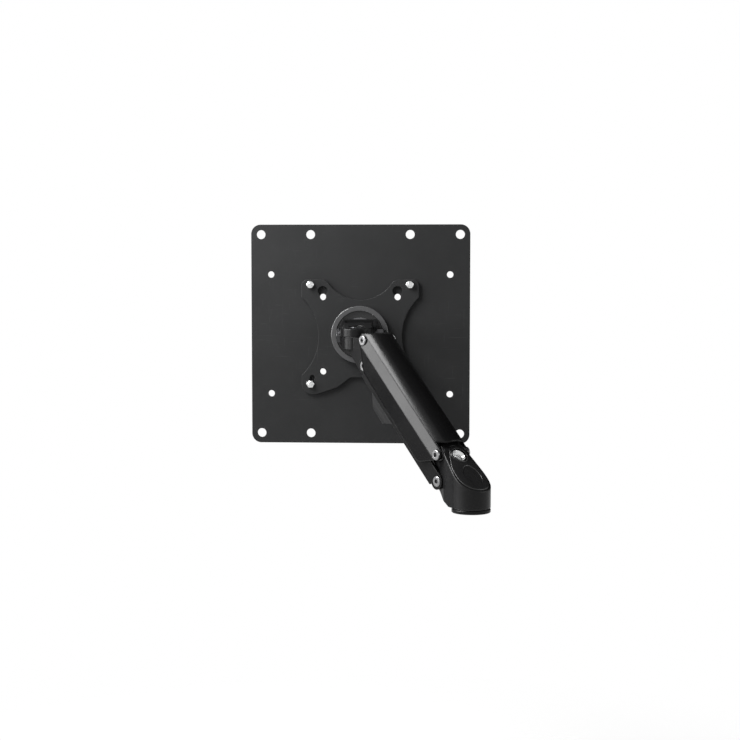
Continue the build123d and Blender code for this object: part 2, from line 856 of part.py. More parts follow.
# Gas spring rod: piston inside the cylinder and a fork that straddles the tension bolt
fork_root_at = fork_eye_place + fork_throat
rod_start = fork_root_at + fork_root
with BuildPart() as gas_rod:
    with BuildSketch(shell_side.offset(fork_inner)):
        with Locations((fork_eye_place, -spring_drop)):
            Circle(fork_eye_radius)
        with Locations((fork_eye_place + rod_start / 2 - fork_eye_place / 2, -spring_drop)):
            Rectangle(rod_start - fork_eye_place, 2 * fork_half_height)
        with Locations((fork_eye_place, -spring_drop)):
            Circle(trunnion_radius + fork_eye_slack, mode=Mode.SUBTRACT)
    extrude(amount=fork_outer - fork_inner)
    mirror(about=side)
    with BuildSketch(arm_cross(fork_root_at, -spring_drop)):
        Rectangle(2 * fork_outer, 2 * fork_half_height)
    extrude(amount=fork_root)
    with BuildSketch(arm_cross(rod_start, -spring_drop)):
        Circle(rod_radius)
    extrude(amount=rod_length)
    with BuildSketch(arm_cross(rod_start + rod_length, -spring_drop)):
        Circle(piston_radius)
    extrude(amount=-piston_length)
parts["gas_rod"] = gas_rod

# Anchor pin held in the shell's slotted pads
with BuildPart() as anchor_pin:
    with BuildSketch(side_disc(rear_upper + along * anchor_place - across * spring_drop, 0)):
        Circle(anchor_radius)
    extrude(amount=shell_inner - 2 * face_gap, both=True)
    chamfer(anchor_pin.edges().filter_by(GeomType.CIRCLE), pin_chamfer)
parts["anchor_pin"] = anchor_pin

# Lower link: channel with tall rear cheeks, low rails and a slotted web
with BuildPart() as lower_link:
    with BuildSketch(link_side):
        for end in (0, link_length):
            with Locations((end, 0)):
                Circle(link_ear)
        Polygon(
            (link_step, 0),
            (link_step, -link_web_bottom),
            (link_length - link_step, -link_web_bottom),
            (link_length - link_step, 0),
            (link_length, 0),
            (link_length, link_ear / 2),
            (link_length - link_ear, link_rail),
            (link_length - link_web_start, -link_rail),
            (link_cheek + link_cheek_slant, -link_rail),
            (link_cheek, link_ear),
            (0, link_ear),
            (0, 0),
            align=None,
        )
    extrude(amount=link_outer_face, both=True)
    with BuildSketch(link_side):
        Rectangle(large, large)
    extrude(amount=link_inner, both=True, mode=Mode.SUBTRACT)
    with BuildSketch(link_side):
        Polygon(
            (link_web_start, -link_web_bottom),
            (link_length - link_web_start, -link_web_bottom),
            (link_length - link_web_start, -link_web_top),
            (link_web_start, -link_web_top),
            align=None,
        )
    extrude(amount=link_outer_face, both=True)
    web_plane = Plane(origin=rear_lower - across * link_web_bottom, x_dir=along, z_dir=across)
    with BuildSketch(web_plane):
        for number in range(link_slot_count):
            with Locations((link_slot_first + number * link_slot_pitch, 0)):
                SlotOverall(link_slot_length, link_slot_width)
    extrude(amount=link_web_bottom, mode=Mode.SUBTRACT)
    with BuildSketch(web_plane):
        with Locations((clip_place, 0)):
            Rectangle(clip_foot, clip_foot)
    extrude(amount=link_web_bottom, mode=Mode.SUBTRACT)
    for pivot in (rear_lower, front_lower):
        with BuildSketch(side_disc(pivot, 0)):
            Circle(pin_radius + seat_gap)
        extrude(amount=2 * link_outer_face, both=True, mode=Mode.SUBTRACT)
    head_seats((rear_lower, front_lower), link_outer_face)
parts["lower_link"] = lower_link

# Cable clip: open loop under the link with sloping ends, its foot snapped into the web
clip_cross = Plane(origin=web_plane.origin + along * clip_place, x_dir=left, z_dir=along)
with BuildPart() as cable_clip:
    with BuildSketch(clip_cross):
        with Locations((0, -clip_depth / 2)):
            RectangleRounded(2 * link_outer_face, clip_depth, clip_corner)
        with Locations((0, -clip_wall)):
            Rectangle(2 * link_outer_face, 2 * clip_wall)
        with Locations((0, -clip_depth / 2)):
            RectangleRounded(
                2 * (link_outer_face - clip_wall),
                clip_depth - 2 * clip_wall,
                clip_corner - clip_wall,
                mode=Mode.SUBTRACT,
            )
        with Locations((-link_outer_face / 2, -clip_depth)):
            Rectangle(clip_mouth, clip_depth, mode=Mode.SUBTRACT)
    extrude(amount=clip_length / 2, both=True)
    with BuildSketch(link_side):
        Polygon(
            (clip_place - clip_length / 2, -link_web_bottom),
            (clip_place - clip_bottom / 2, -link_web_bottom - clip_depth),
            (clip_place + clip_bottom / 2, -link_web_bottom - clip_depth),
            (clip_place + clip_length / 2, -link_web_bottom),
            align=None,
        )
    extrude(amount=shell_half, both=True, mode=Mode.INTERSECT)
    with BuildSketch(web_plane):
        with Locations((clip_place, 0)):
            Rectangle(clip_foot - 2 * seat_gap, clip_foot - 2 * seat_gap)
    extrude(amount=link_web_bottom - link_web_top)
parts["cable_clip"] = cable_clip

# Front link: swivel barrel joined to the two front pivots
barrel_top = -free_gap
with BuildPart() as front_link:
    with BuildSketch(side):
        with Locations((front_reach, front_height)):
            Circle(front_upper_radius)
        with Locations((front_reach + link_lead, front_height - link_drop)):
            Circle(front_lower_radius)
        make_hull()
    extrude(amount=neck_half, both=True)
    with BuildSketch(side):
        barrel_back = front_reach + swivel_reach - barrel_outer
        low = plate_height + barrel_top - barrel_height
        Polygon(
            (front_reach, plate_height + barrel_top),
            (barrel_back + barrel_outer, plate_height + barrel_top),
            (barrel_back + barrel_outer, low),
            (front_reach + link_lead + front_lower_radius, front_height - link_drop - front_lower_radius),
            (front_reach + link_lead, front_height - link_drop - front_lower_radius),
            align=None,
        )
    extrude(amount=neck_half, both=True)
    with BuildSketch(swivel_floor.offset(barrel_top)):
        Circle(barrel_outer)
    extrude(amount=-barrel_height)
    barrel_rims = front_link.edges().filter_by(GeomType.CIRCLE).filter_by(
        lambda e: abs(e.radius - barrel_outer) < seat_gap
    )
    chamfer(barrel_rims, barrel_edge)
    with BuildSketch(swivel_floor.offset(barrel_top)):
        Circle(swivel_radius + seat_gap)
    extrude(amount=-large, mode=Mode.SUBTRACT)
    with BuildSketch(swivel_floor.offset(barrel_top - barrel_height + barrel_wall_below)):
        Circle(swivel_nut_flats / 2 / hex_corner + free_gap)
    extrude(amount=-large, mode=Mode.SUBTRACT)
    for pivot in (front_upper, front_lower):
        with BuildSketch(side_disc(pivot, 0)):
            Circle(bush_radius + seat_gap)
        extrude(amount=shell_half, both=True, mode=Mode.SUBTRACT)
parts["front_link"] = front_link

# Pivot screws and bushes of the four pivots
upper_outer = shell_half + pin_proud
lower_outer = link_outer_face + pin_proud
upper_seat = shell_boss_inner - face_gap
lower_seat = link_inner - face_gap
screw_inner = pocket_half + face_gap
for name, place, screw_end, flange_end in (
    ("upper_rear", rear_upper, upper_outer, upper_seat),
    ("upper_front", front_upper, upper_outer, upper_seat),
    ("lower_rear", rear_lower, lower_outer, lower_seat),
    ("lower_front", front_lower, lower_outer, lower_seat),
):
    parts[name + "_screws"] = pivot_screws(place, screw_inner, screw_end)
    parts[name + "_bushes"] = pivot_bushes(place, pocket_half, neck_half, flange_end)

# Swivel bolt with a rounded socket head, its washers and its nut
swivel_seat = lug_seat + swivel_washer
nut_top = barrel_top - barrel_height + barrel_wall_below
with BuildPart() as swivel_bolt:
    with BuildSketch(swivel_floor.offset(swivel_seat)):
        Circle(swivel_head_radius)
    extrude(amount=swivel_head_height)
    fillet(swivel_bolt.edges().filter_by(GeomType.CIRCLE).group_by(Axis.Z)[-1], swivel_head_round)
    with BuildSketch(swivel_floor.offset(swivel_seat)):
        Circle(swivel_radius)
    extrude(amount=nut_top - swivel_nut_height - swivel_seat)
    with BuildSketch(swivel_floor.offset(swivel_seat + swivel_head_height)):
        RegularPolygon(swivel_socket / 2, hex_sides, major_radius=False)
    extrude(amount=-swivel_socket_depth, mode=Mode.SUBTRACT)
parts["swivel_bolt"] = swivel_bolt
parts["swivel_washer"] = washer(
    swivel_floor.offset(lug_seat), swivel_radius + seat_gap, swivel_head_radius, swivel_washer
)
swivel_below = Plane(origin=swivel_at + up * (plate_height + nut_top), x_dir=(1, 0, 0), z_dir=-up)
parts["swivel_nut"] = hexagon(swivel_below, swivel_nut_flats, swivel_nut_height, swivel_radius + seat_gap)

# Head knuckle: swivel lug with a leaning top, and the tilt barrel in front of it
lug_low = barrel_top + swivel_friction + free_gap
parts["swivel_friction_ring"] = washer(
    swivel_floor.offset(barrel_top), swivel_radius + turn_gap, barrel_outer - barrel_edge, swivel_friction
)
lug_to_tilt = plate_reach - tilt_reach
with BuildPart() as head_knuckle:
    with BuildSketch(swivel_floor.offset(lug_low)):
        Circle(lug_radius)
        with Locations((0, lug_to_tilt / 2)):
            Rectangle(2 * knuckle_half, lug_to_tilt)
    extrude(amount=2 * lug_height)
    lean = radians(lug_lean)
    with BuildSketch(
        Plane(
            origin=swivel_floor.origin + up * lug_height,
            x_dir=(1, 0, 0),
            z_dir=(0, -sin(lean), cos(lean)),
        )
    ):
        Rectangle(large, large)
    extrude(amount=large, mode=Mode.SUBTRACT)
    leaning_top = head_knuckle.faces().filter_by(GeomType.PLANE).sort_by(Axis.Z)[-1]
    fillet(leaning_top.edges().sort_by(Axis.Y)[:-1], knuckle_edge)
    with BuildSketch(tilt_side):
        Circle(knuckle_barrel)
    extrude(amount=knuckle_half, both=True)
    with BuildSketch(swivel_floor.offset(lug_seat)):
        Circle(lug_seat_radius)
    extrude(amount=large, mode=Mode.SUBTRACT)
    with BuildSketch(swivel_floor):
        Circle(swivel_radius + turn_gap)
    extrude(amount=large, mode=Mode.SUBTRACT)
    with BuildSketch(tilt_side):
        Circle(tilt_bolt_radius + turn_gap)
    extrude(amount=large, both=True, mode=Mode.SUBTRACT)
parts["head_knuckle"] = head_knuckle

# Tilt clevis: base plate with two ears
ear_inner = knuckle_half + ear_gap
ear_outer = ear_inner + ear_thickness
clevis_low = vesa_thickness + disc_base + rotation_washer
clevis_high = clevis_low + clevis_base
with BuildPart() as tilt_clevis:
    with BuildSketch(out(clevis_low)):
        Circle(disc_radius - disc_rim_width - free_gap)
        Rectangle(2 * ear_outer, 2 * clevis_base_half, mode=Mode.INTERSECT)
    extrude(amount=clevis_base)
    for hand in (1, -1):
        with BuildSketch(tilt_side.offset(hand * ear_inner)):
            Circle(ear_tip)
            with Locations((tilt_reach - clevis_high, 0)):
                Rectangle(clevis_base, 2 * ear_root_half)
            make_hull()
        extrude(amount=hand * ear_thickness)
    ear_faces = tilt_clevis.faces().filter_by(Axis.X).group_by(Axis.X)
    fillet(ear_faces[0].edges() + ear_faces[-1].edges(), ear_edge)
    with BuildSketch(out(clevis_low)):
        Circle(rotation_radius + seat_gap)
    extrude(amount=clevis_base, mode=Mode.SUBTRACT)
    with BuildSketch(tilt_side):
        Circle(tilt_bolt_radius + seat_gap)
    extrude(amount=large, both=True, mode=Mode.SUBTRACT)
parts["tilt_clevis"] = tilt_clevis

# Tilt bolt, nut with its collar, and the washers on both sides of each ear
left_face = -ear_outer - tilt_outer_washer
right_face = ear_outer + tilt_outer_washer
thread_end = right_face + tilt_nut_height + tilt_collar_height + tilt_thread_proud
tilt_left = Plane(origin=tilt_axis + Vector(left_face, 0, 0), x_dir=(0, 1, 0), z_dir=(-1, 0, 0))
with BuildPart() as tilt_bolt:
    add(hexagon(tilt_left, tilt_head_flats, tilt_head_height).part)
    with BuildSketch(tilt_side.offset(left_face)):
        Circle(tilt_bolt_radius)
    extrude(amount=thread_end - left_face)
    chamfer(tilt_bolt.edges().filter_by(GeomType.CIRCLE).group_by(Axis.X)[-1], pin_chamfer)
parts["tilt_bolt"] = tilt_bolt
with BuildPart() as tilt_nut:
    add(hexagon(tilt_side.offset(right_face), tilt_nut_flats, tilt_nut_height).part)
    with BuildSketch(tilt_side.offset(right_face + tilt_nut_height)):
        Circle(tilt_collar_radius)
    extrude(amount=tilt_collar_height)
    with BuildSketch(tilt_side.offset(right_face)):
        Circle(tilt_bolt_radius + seat_gap)
    extrude(amount=large, mode=Mode.SUBTRACT)
parts["tilt_nut"] = tilt_nut
with BuildPart() as tilt_washers:
    for start, thickness in (
        (ear_inner - tilt_washer, tilt_washer),
        (ear_outer, tilt_outer_washer),
    ):
        with BuildSketch(tilt_side.offset(start)):
            Circle(tilt_washer_radius)
            Circle(tilt_bolt_radius + seat_gap, mode=Mode.SUBTRACT)
        extrude(amount=thickness)
    mirror(about=tilt_side)
parts["tilt_washers"] = tilt_washers

# Rotation disc: dished ring with a raised rim, on the head plate
with BuildPart() as rotation_disc:
    with BuildSketch(out(vesa_thickness)):
        Circle(disc_radius)
    extrude(amount=disc_base + disc_rim_height)
    fillet(rotation_disc.edges().filter_by(GeomType.CIRCLE).group_by(Axis.Y)[0], disc_edge)
    with BuildSketch(out(vesa_thickness + disc_base)):
        Circle(disc_radius - disc_rim_width)
    extrude(amount=disc_rim_height, mode=Mode.SUBTRACT)
    with BuildSketch(out(vesa_thickness)):
        Circle(rotation_radius + turn_gap)
    extrude(amount=disc_base, mode=Mode.SUBTRACT)
parts["rotation_disc"] = rotation_disc
parts["rotation_washer"] = washer(
    out(vesa_thickness + disc_base), rotation_radius + turn_gap, rotation_washer_radius, rotation_washer
)

# Rotation bolt with a flat head behind the head plate, its washer and thin nut
nut_face = clevis_high + rotation_nut_washer
with BuildPart() as rotation_bolt:
    with BuildSketch(out(-rotation_head)):
        Circle(rotation_head_radius)
    extrude(amount=rotation_head - face_gap)
    with BuildSketch(out(-rotation_head)):
        Circle(rotation_radius)
    extrude(amount=rotation_head + nut_face + rotation_nut_height + rotation_thread_proud)
parts["rotation_bolt"] = rotation_bolt
parts["rotation_nut_washer"] = washer(
    out(clevis_high), rotation_radius + seat_gap, rotation_nut_washer_radius, rotation_nut_washer
)
parts["rotation_nut"] = hexagon(
    out(nut_face), rotation_nut_flats, rotation_nut_height, rotation_radius + seat_gap
)

# Head plate: X shape with curved sides, keyholes above and plain holes below
slot_reach = hypot(vesa_slot_rise, vesa_slot_shift)
slot_lean = degrees(atan2(vesa_slot_rise, vesa_slot_shift))
key_centre = (vesa_small + vesa_key_rise) / 2
key_top = vesa_small / 2 + vesa_key_rise
top_left = (-vesa_top_dip_half, vesa_top)
top_right = (vesa_top_dip_half, vesa_top)
low_left = (-vesa_bottom_dip_half, -vesa_bottom)
low_right = (vesa_bottom_dip_half, -vesa_bottom)
with BuildPart() as vesa_plate:
    with BuildSketch(face) as vesa_sketch:
        with BuildLine():
            ThreePointArc(top_left, (0, vesa_top_dip), top_right)
            Polyline(top_right, (vesa_half, vesa_top), (vesa_half, vesa_side_high))
            ThreePointArc((vesa_half, vesa_side_high), (vesa_side_dip, 0), (vesa_half, -vesa_side_low))
            Polyline((vesa_half, -vesa_side_low), (vesa_half, -vesa_bottom), low_right)
            Polyline(
                low_right,
                (vesa_step_half, -vesa_step),
                (vesa_bottom_flat, -vesa_bottom_dip),
                (-vesa_bottom_flat, -vesa_bottom_dip),
                (-vesa_step_half, -vesa_step),
                low_left,
            )
            Polyline(low_left, (-vesa_half, -vesa_bottom), (-vesa_half, -vesa_side_low))
            ThreePointArc((-vesa_half, -vesa_side_low), (-vesa_side_dip, 0), (-vesa_half, vesa_side_high))
            Polyline((-vesa_half, vesa_side_high), (-vesa_half, vesa_top), top_left)
        make_face()
        for corner_height, corner_radius in ((vesa_top, vesa_corner), (-vesa_bottom, vesa_lug)):
            corners = vesa_sketch.vertices().filter_by(lambda v: abs(abs(v.X) - vesa_half) < seat_gap)
            fillet(corners.filter_by(lambda v: abs(v.Y - corner_height) < seat_gap), corner_radius)
        for blend_half, blend in (
            (vesa_top_dip_half, vesa_blend),
            (vesa_bottom_dip_half, vesa_blend),
            (vesa_step_half, vesa_step_blend),
            (vesa_bottom_flat, vesa_step_blend),
        ):
            blends = vesa_sketch.vertices().filter_by(lambda v: abs(abs(v.X) - blend_half) < seat_gap)
            fillet(blends, blend)
        with GridLocations(vesa_small, vesa_small, 2, 2):
            Circle(vesa_hole / 2, mode=Mode.SUBTRACT)
        with GridLocations(vesa_large, vesa_large, 2, 2):
            Circle(vesa_slot / 2, mode=Mode.SUBTRACT)
        for hand in (1, -1):
            with Locations((hand * vesa_small / 2, key_top)):
                Circle(vesa_key / 2, mode=Mode.SUBTRACT)
            with Locations((hand * vesa_small / 2, key_centre)):
                Rectangle(vesa_hole, vesa_key_rise, mode=Mode.SUBTRACT)
            with Locations((hand * (vesa_large - vesa_slot_shift) / 2, (vesa_slot_rise - vesa_large) / 2)):
                SlotCenterToCenter(slot_reach, vesa_slot, -hand * slot_lean, mode=Mode.SUBTRACT)
        Circle(rotation_radius + turn_gap, mode=Mode.SUBTRACT)
    extrude(amount=vesa_thickness)
    front_rims = vesa_plate.faces().filter_by(Axis.Y).sort_by(Axis.Y)[0].outer_wire().edges()
    fillet(front_rims, vesa_edge)
parts["vesa_plate"] = vesa_plate

# Adapter plate: square sheet with rounded corners, rows of screw holes and countersinks
screen_face = Plane(origin=plate_centre + Vector(0, plate_thickness, 0), x_dir=(1, 0, 0), z_dir=(0, 1, 0))
screw_taper = degrees(atan2(screw_head_radius - screw_radius, screw_head_height))
with BuildPart() as adapter_plate:
    with BuildSketch(face):
        RectangleRounded(plate_side, plate_side, plate_corner)
        for pitch in (plate_outer_pitch, plate_inner_pitch):
            with GridLocations(pitch, plate_outer_pitch, 2, 2):
                Circle(plate_hole / 2, mode=Mode.SUBTRACT)
        with GridLocations(plate_side_pitch_x, plate_side_pitch_z, 2, 2):
            Circle(plate_side_hole / 2, mode=Mode.SUBTRACT)
        with GridLocations(vesa_small, vesa_small, 2, 2):
            Circle(vesa_hole / 2, mode=Mode.SUBTRACT)
        with GridLocations(vesa_large, vesa_large, 2, 2):
            Circle(screw_radius + seat_gap, mode=Mode.SUBTRACT)
        Circle(plate_centre_hole, mode=Mode.SUBTRACT)
    extrude(amount=-plate_thickness)
    for sheet_face in adapter_plate.faces().filter_by(Axis.Y):
        fillet(sheet_face.outer_wire().edges(), plate_edge)
    with BuildSketch(screen_face):
        with GridLocations(vesa_large, vesa_large, 2, 2):
            Circle(screw_head_radius + seat_gap)
    extrude(amount=-screw_head_height - seat_gap, taper=screw_taper, mode=Mode.SUBTRACT)
parts["adapter_plate"] = adapter_plate

# Screws that join the plates, flat heads on the screen side, and their nuts
with BuildPart() as adapter_screws:
    with BuildSketch(screen_face):
        with GridLocations(vesa_large, vesa_large, 2, 2):
            Circle(screw_head_radius)
    extrude(amount=-screw_head_height, taper=screw_taper)
    with BuildSketch(screen_face):
        with GridLocations(vesa_large, vesa_large, 2, 2):
            Circle(screw_radius)
    extrude(amount=-(plate_thickness + vesa_thickness + nut_height + screw_proud))
    with BuildSketch(screen_face):
        with GridLocations(vesa_large, vesa_large, 2, 2):
            RegularPolygon(screw_socket / 2, hex_sides, major_radius=False)
    extrude(amount=-screw_socket_depth, mode=Mode.SUBTRACT)
parts["adapter_screws"] = adapter_screws
parts["adapter_nuts"] = hexagon(
    out(vesa_thickness), nut_flats, nut_height, screw_radius + seat_gap, vesa_large, 2
)

os.makedirs("parts", exist_ok=True)
for name, piece in parts.items():
    piece.part.label = name
    export_step(piece.part, f"parts/{name}.step")
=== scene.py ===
import json
import math

import bmesh
import bpy
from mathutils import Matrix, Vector


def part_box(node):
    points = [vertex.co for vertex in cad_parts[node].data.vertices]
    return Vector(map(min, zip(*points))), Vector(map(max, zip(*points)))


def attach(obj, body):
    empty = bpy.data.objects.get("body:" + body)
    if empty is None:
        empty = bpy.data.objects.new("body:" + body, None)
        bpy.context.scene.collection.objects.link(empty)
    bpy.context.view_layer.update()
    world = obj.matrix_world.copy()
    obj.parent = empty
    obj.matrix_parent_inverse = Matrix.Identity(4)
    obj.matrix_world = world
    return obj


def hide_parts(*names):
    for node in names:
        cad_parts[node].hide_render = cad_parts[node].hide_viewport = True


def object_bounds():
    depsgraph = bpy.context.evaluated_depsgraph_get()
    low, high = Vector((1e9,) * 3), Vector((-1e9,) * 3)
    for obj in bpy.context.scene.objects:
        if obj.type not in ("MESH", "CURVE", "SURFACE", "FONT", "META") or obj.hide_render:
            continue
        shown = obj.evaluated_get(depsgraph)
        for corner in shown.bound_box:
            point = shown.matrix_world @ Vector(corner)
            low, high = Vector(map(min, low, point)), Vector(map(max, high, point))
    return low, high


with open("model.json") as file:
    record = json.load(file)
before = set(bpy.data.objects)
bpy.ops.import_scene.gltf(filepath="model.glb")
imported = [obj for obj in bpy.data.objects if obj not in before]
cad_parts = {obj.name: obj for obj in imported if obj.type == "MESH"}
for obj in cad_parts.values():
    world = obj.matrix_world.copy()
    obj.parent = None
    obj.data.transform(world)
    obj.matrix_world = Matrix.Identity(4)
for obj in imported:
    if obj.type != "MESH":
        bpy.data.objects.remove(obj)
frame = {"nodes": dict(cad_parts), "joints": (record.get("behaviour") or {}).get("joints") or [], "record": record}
cadLow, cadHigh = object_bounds()
nodes = frame["nodes"]
print("frame loaded:", len(nodes), "nodes")

mixFirst, mixSecond, mixResult = 6, 7, 2  # colour sockets of a Mix node
perMetre = 1000.0  # millimetres in a metre


# small helpers for shader nodes
def addNode(tree, kind, **sockets):
    node = tree.nodes.new(kind)
    for key, value in sockets.items():
        node.inputs[key].default_value = value
    return node


def join(tree, source, output, target, slot):
    tree.links.new(source.outputs[output], target.inputs[slot])


def mathNode(tree, operation, first, second, clamp=False):
    node = tree.nodes.new("ShaderNodeMath")
    node.operation = operation
    node.use_clamp = clamp
    for place, value in enumerate((first, second)):
        if isinstance(value, tuple):
            join(tree, value[0], value[1], node, place)
        else:
            node.inputs[place].default_value = value
    return node


# 0 at the first limit and 1 at the second
def rampNode(tree, source, limits):
    node = tree.nodes.new("ShaderNodeMapRange")
    join(tree, source[0], source[1], node, "Value")
    node.inputs["From Min"].default_value = limits[0]
    node.inputs["From Max"].default_value = limits[1]
    return node


# low where the factor is 0 and high where it is 1
def spread(tree, factor, low, high):
    node = tree.nodes.new("ShaderNodeMapRange")
    join(tree, factor[0], factor[1], node, "Value")
    node.inputs["To Min"].default_value = low
    node.inputs["To Max"].default_value = high
    return node


def scaledNoise(tree, place, scale, **sockets):
    noise = addNode(tree, "ShaderNodeTexNoise", **sockets)
    join(tree, place[0], place[1], noise, "Vector")
    join(tree, scale[0], scale[1], noise, "Scale")
    return noise


def newGroup(name, inputs, outputs):
    tree = bpy.data.node_groups.new(name, "ShaderNodeTree")
    for socketName, value in inputs.items():
        socket = tree.interface.new_socket(socketName, in_out="INPUT", socket_type="NodeSocketFloat")
        socket.default_value = value
    for socketName, socketKind in outputs.items():
        tree.interface.new_socket(socketName, in_out="OUTPUT", socket_type=socketKind)
    return tree, tree.nodes.new("NodeGroupInput"), tree.nodes.new("NodeGroupOutput")


def useGroup(tree, group, values):
    node = tree.nodes.new("ShaderNodeGroup")
    node.node_tree = group
    for key, value in values.items():
        node.inputs[key].default_value = value
    return node


# rubbed line where two faces meet, and a normal that rounds the edge
edgeWearLook = {
    "inputs": {"Width": 0.0006, "Round": 0.0006, "Breakup": 900.0},
    "maskSamples": 6, "normalSamples": 8,
    "bend": (0.01, 0.16), "patch": (0.35, 0.7), "patchDetail": 3.0,
}


def makeEdgeWear():
    look = edgeWearLook
    outputs = {"Mask": "NodeSocketFloat", "Soft Normal": "NodeSocketVector"}
    tree, entry, leave = newGroup("edgeWear", look["inputs"], outputs)
    soft = tree.nodes.new("ShaderNodeBevel")
    soft.samples = look["maskSamples"]
    join(tree, entry, "Width", soft, "Radius")
    geometry = tree.nodes.new("ShaderNodeNewGeometry")
    dot = tree.nodes.new("ShaderNodeVectorMath")
    dot.operation = "DOT_PRODUCT"
    join(tree, soft, "Normal", dot, 0)
    join(tree, geometry, "Normal", dot, 1)
    bend = mathNode(tree, "SUBTRACT", 1.0, (dot, "Value"))
    line = rampNode(tree, (bend, 0), look["bend"])
    coords = tree.nodes.new("ShaderNodeTexCoord")
    noise = scaledNoise(tree, (coords, "Object"), (entry, "Breakup"), Detail=look["patchDetail"])
    patchy = rampNode(tree, (noise, 0), look["patch"])
    mask = mathNode(tree, "MULTIPLY", (line, 0), (patchy, 0), clamp=True)
    join(tree, mask, 0, leave, "Mask")
    rounded = tree.nodes.new("ShaderNodeBevel")
    rounded.samples = look["normalSamples"]
    join(tree, entry, "Round", rounded, "Radius")
    join(tree, rounded, "Normal", leave, "Soft Normal")
    return tree


# fine pebbled coat: small bumps, and larger mottling in the shade
coatGrainLook = {
    "inputs": {"Scale": 2600.0, "Mottle Scale": 60.0},
    "pebbles": {"Detail": 2.0, "Roughness": 0.55},
    "clouds": {"Detail": 4.0, "Roughness": 0.6},
}


def makeCoatGrain():
    look = coatGrainLook
    outputs = {"Height": "NodeSocketFloat", "Mottle": "NodeSocketFloat"}
    tree, entry, leave = newGroup("coatGrain", look["inputs"], outputs)
    coords = tree.nodes.new("ShaderNodeTexCoord")
    pebbles = scaledNoise(tree, (coords, "Object"), (entry, "Scale"), **look["pebbles"])
    cells = tree.nodes.new("ShaderNodeTexVoronoi")
    cells.feature = "SMOOTH_F1"
    join(tree, coords, "Object", cells, "Vector")
    join(tree, entry, "Scale", cells, "Scale")
    height = mathNode(tree, "ADD", (pebbles, 0), (cells, "Distance"))
    clouds = scaledNoise(tree, (coords, "Object"), (entry, "Mottle Scale"), **look["clouds"])
    join(tree, height, 0, leave, "Height")
    join(tree, clouds, 0, leave, "Mottle")
    return tree


# thin dust and hand marks that dull the gloss in patches
dustFilmLook = {
    "inputs": {"Patch Scale": 35.0, "Speck Scale": 700.0},
    "patches": {"Detail": 5.0, "Roughness": 0.65, "Distortion": 0.4},
    "film": (0.38, 0.72), "speck": (0.16, 0.06),
}


def makeDustFilm():
    look = dustFilmLook
    outputs = {"Film": "NodeSocketFloat", "Specks": "NodeSocketFloat"}
    tree, entry, leave = newGroup("dustFilm", look["inputs"], outputs)
    coords = tree.nodes.new("ShaderNodeTexCoord")
    patches = scaledNoise(tree, (coords, "Object"), (entry, "Patch Scale"), **look["patches"])
    film = rampNode(tree, (patches, 0), look["film"])
    dots = tree.nodes.new("ShaderNodeTexVoronoi")
    join(tree, coords, "Object", dots, "Vector")
    join(tree, entry, "Speck Scale", dots, "Scale")
    speck = rampNode(tree, (dots, "Distance"), look["speck"])
    rare = mathNode(tree, "MULTIPLY", (speck, 0), (film, 0), clamp=True)
    join(tree, film, 0, leave, "Film")
    join(tree, rare, 0, leave, "Specks")
    return tree


# fine turned or drawn lines on bare metal, and stains
toolLinesLook = {
    "inputs": {"Scale": 3000.0, "Stain Scale": 160.0},
    "stretch": (1.0, 1.0, 0.12),
    "lines": {"Detail": 2.0},
    "stain": {"Detail": 4.0, "Roughness": 0.6},
}


def makeToolLines():
    look = toolLinesLook
    outputs = {"Height": "NodeSocketFloat", "Stain": "NodeSocketFloat"}
    tree, entry, leave = newGroup("toolLines", look["inputs"], outputs)
    coords = tree.nodes.new("ShaderNodeTexCoord")
    stretch = addNode(tree, "ShaderNodeMapping", Scale=look["stretch"])
    join(tree, coords, "Object", stretch, "Vector")
    lines = scaledNoise(tree, (stretch, "Vector"), (entry, "Scale"), **look["lines"])
    stain = scaledNoise(tree, (coords, "Object"), (entry, "Stain Scale"), **look["stain"])
    join(tree, lines, 0, leave, "Height")
    join(tree, stain, 0, leave, "Stain")
    return tree


# slow waves that a cast or pressed surface keeps under its paint
castRippleLook = {
    "inputs": {"Wave Scale": 45.0, "Pit Scale": 420.0},
    "waves": {"Detail": 1.0, "Roughness": 0.4},
    "pits": {"Detail": 2.0, "Roughness": 0.5},
    "pitShare": 0.12,
}


def makeCastRipple():
    look = castRippleLook
    tree, entry, leave = newGroup("castRipple", look["inputs"], {"Height": "NodeSocketFloat"})
    coords = tree.nodes.new("ShaderNodeTexCoord")
    waves = scaledNoise(tree, (coords, "Object"), (entry, "Wave Scale"), **look["waves"])
    pits = scaledNoise(tree, (coords, "Object"), (entry, "Pit Scale"), **look["pits"])
    fine = mathNode(tree, "MULTIPLY", (pits, 0), look["pitShare"])
    height = mathNode(tree, "ADD", (waves, 0), (fine, 0))
    join(tree, height, 0, leave, "Height")
    return tree


# short faint scuffs from handling, in two directions
scuffsLook = {
    "inputs": {"Scale": 55.0, "Amount": 0.5},
    "strokes": ((0.5, (1.0, 1.0, 26.0)), (-0.9, (30.0, 1.0, 1.0))),  # turn and stretch
    "pitchShare": 0.7,
    "lines": {"Detail": 2.0, "Roughness": 0.5}, "thin": (0.67, 0.74),
    "where": {"Scale": 18.0, "Detail": 2.0}, "here": (0.48, 0.62),
}


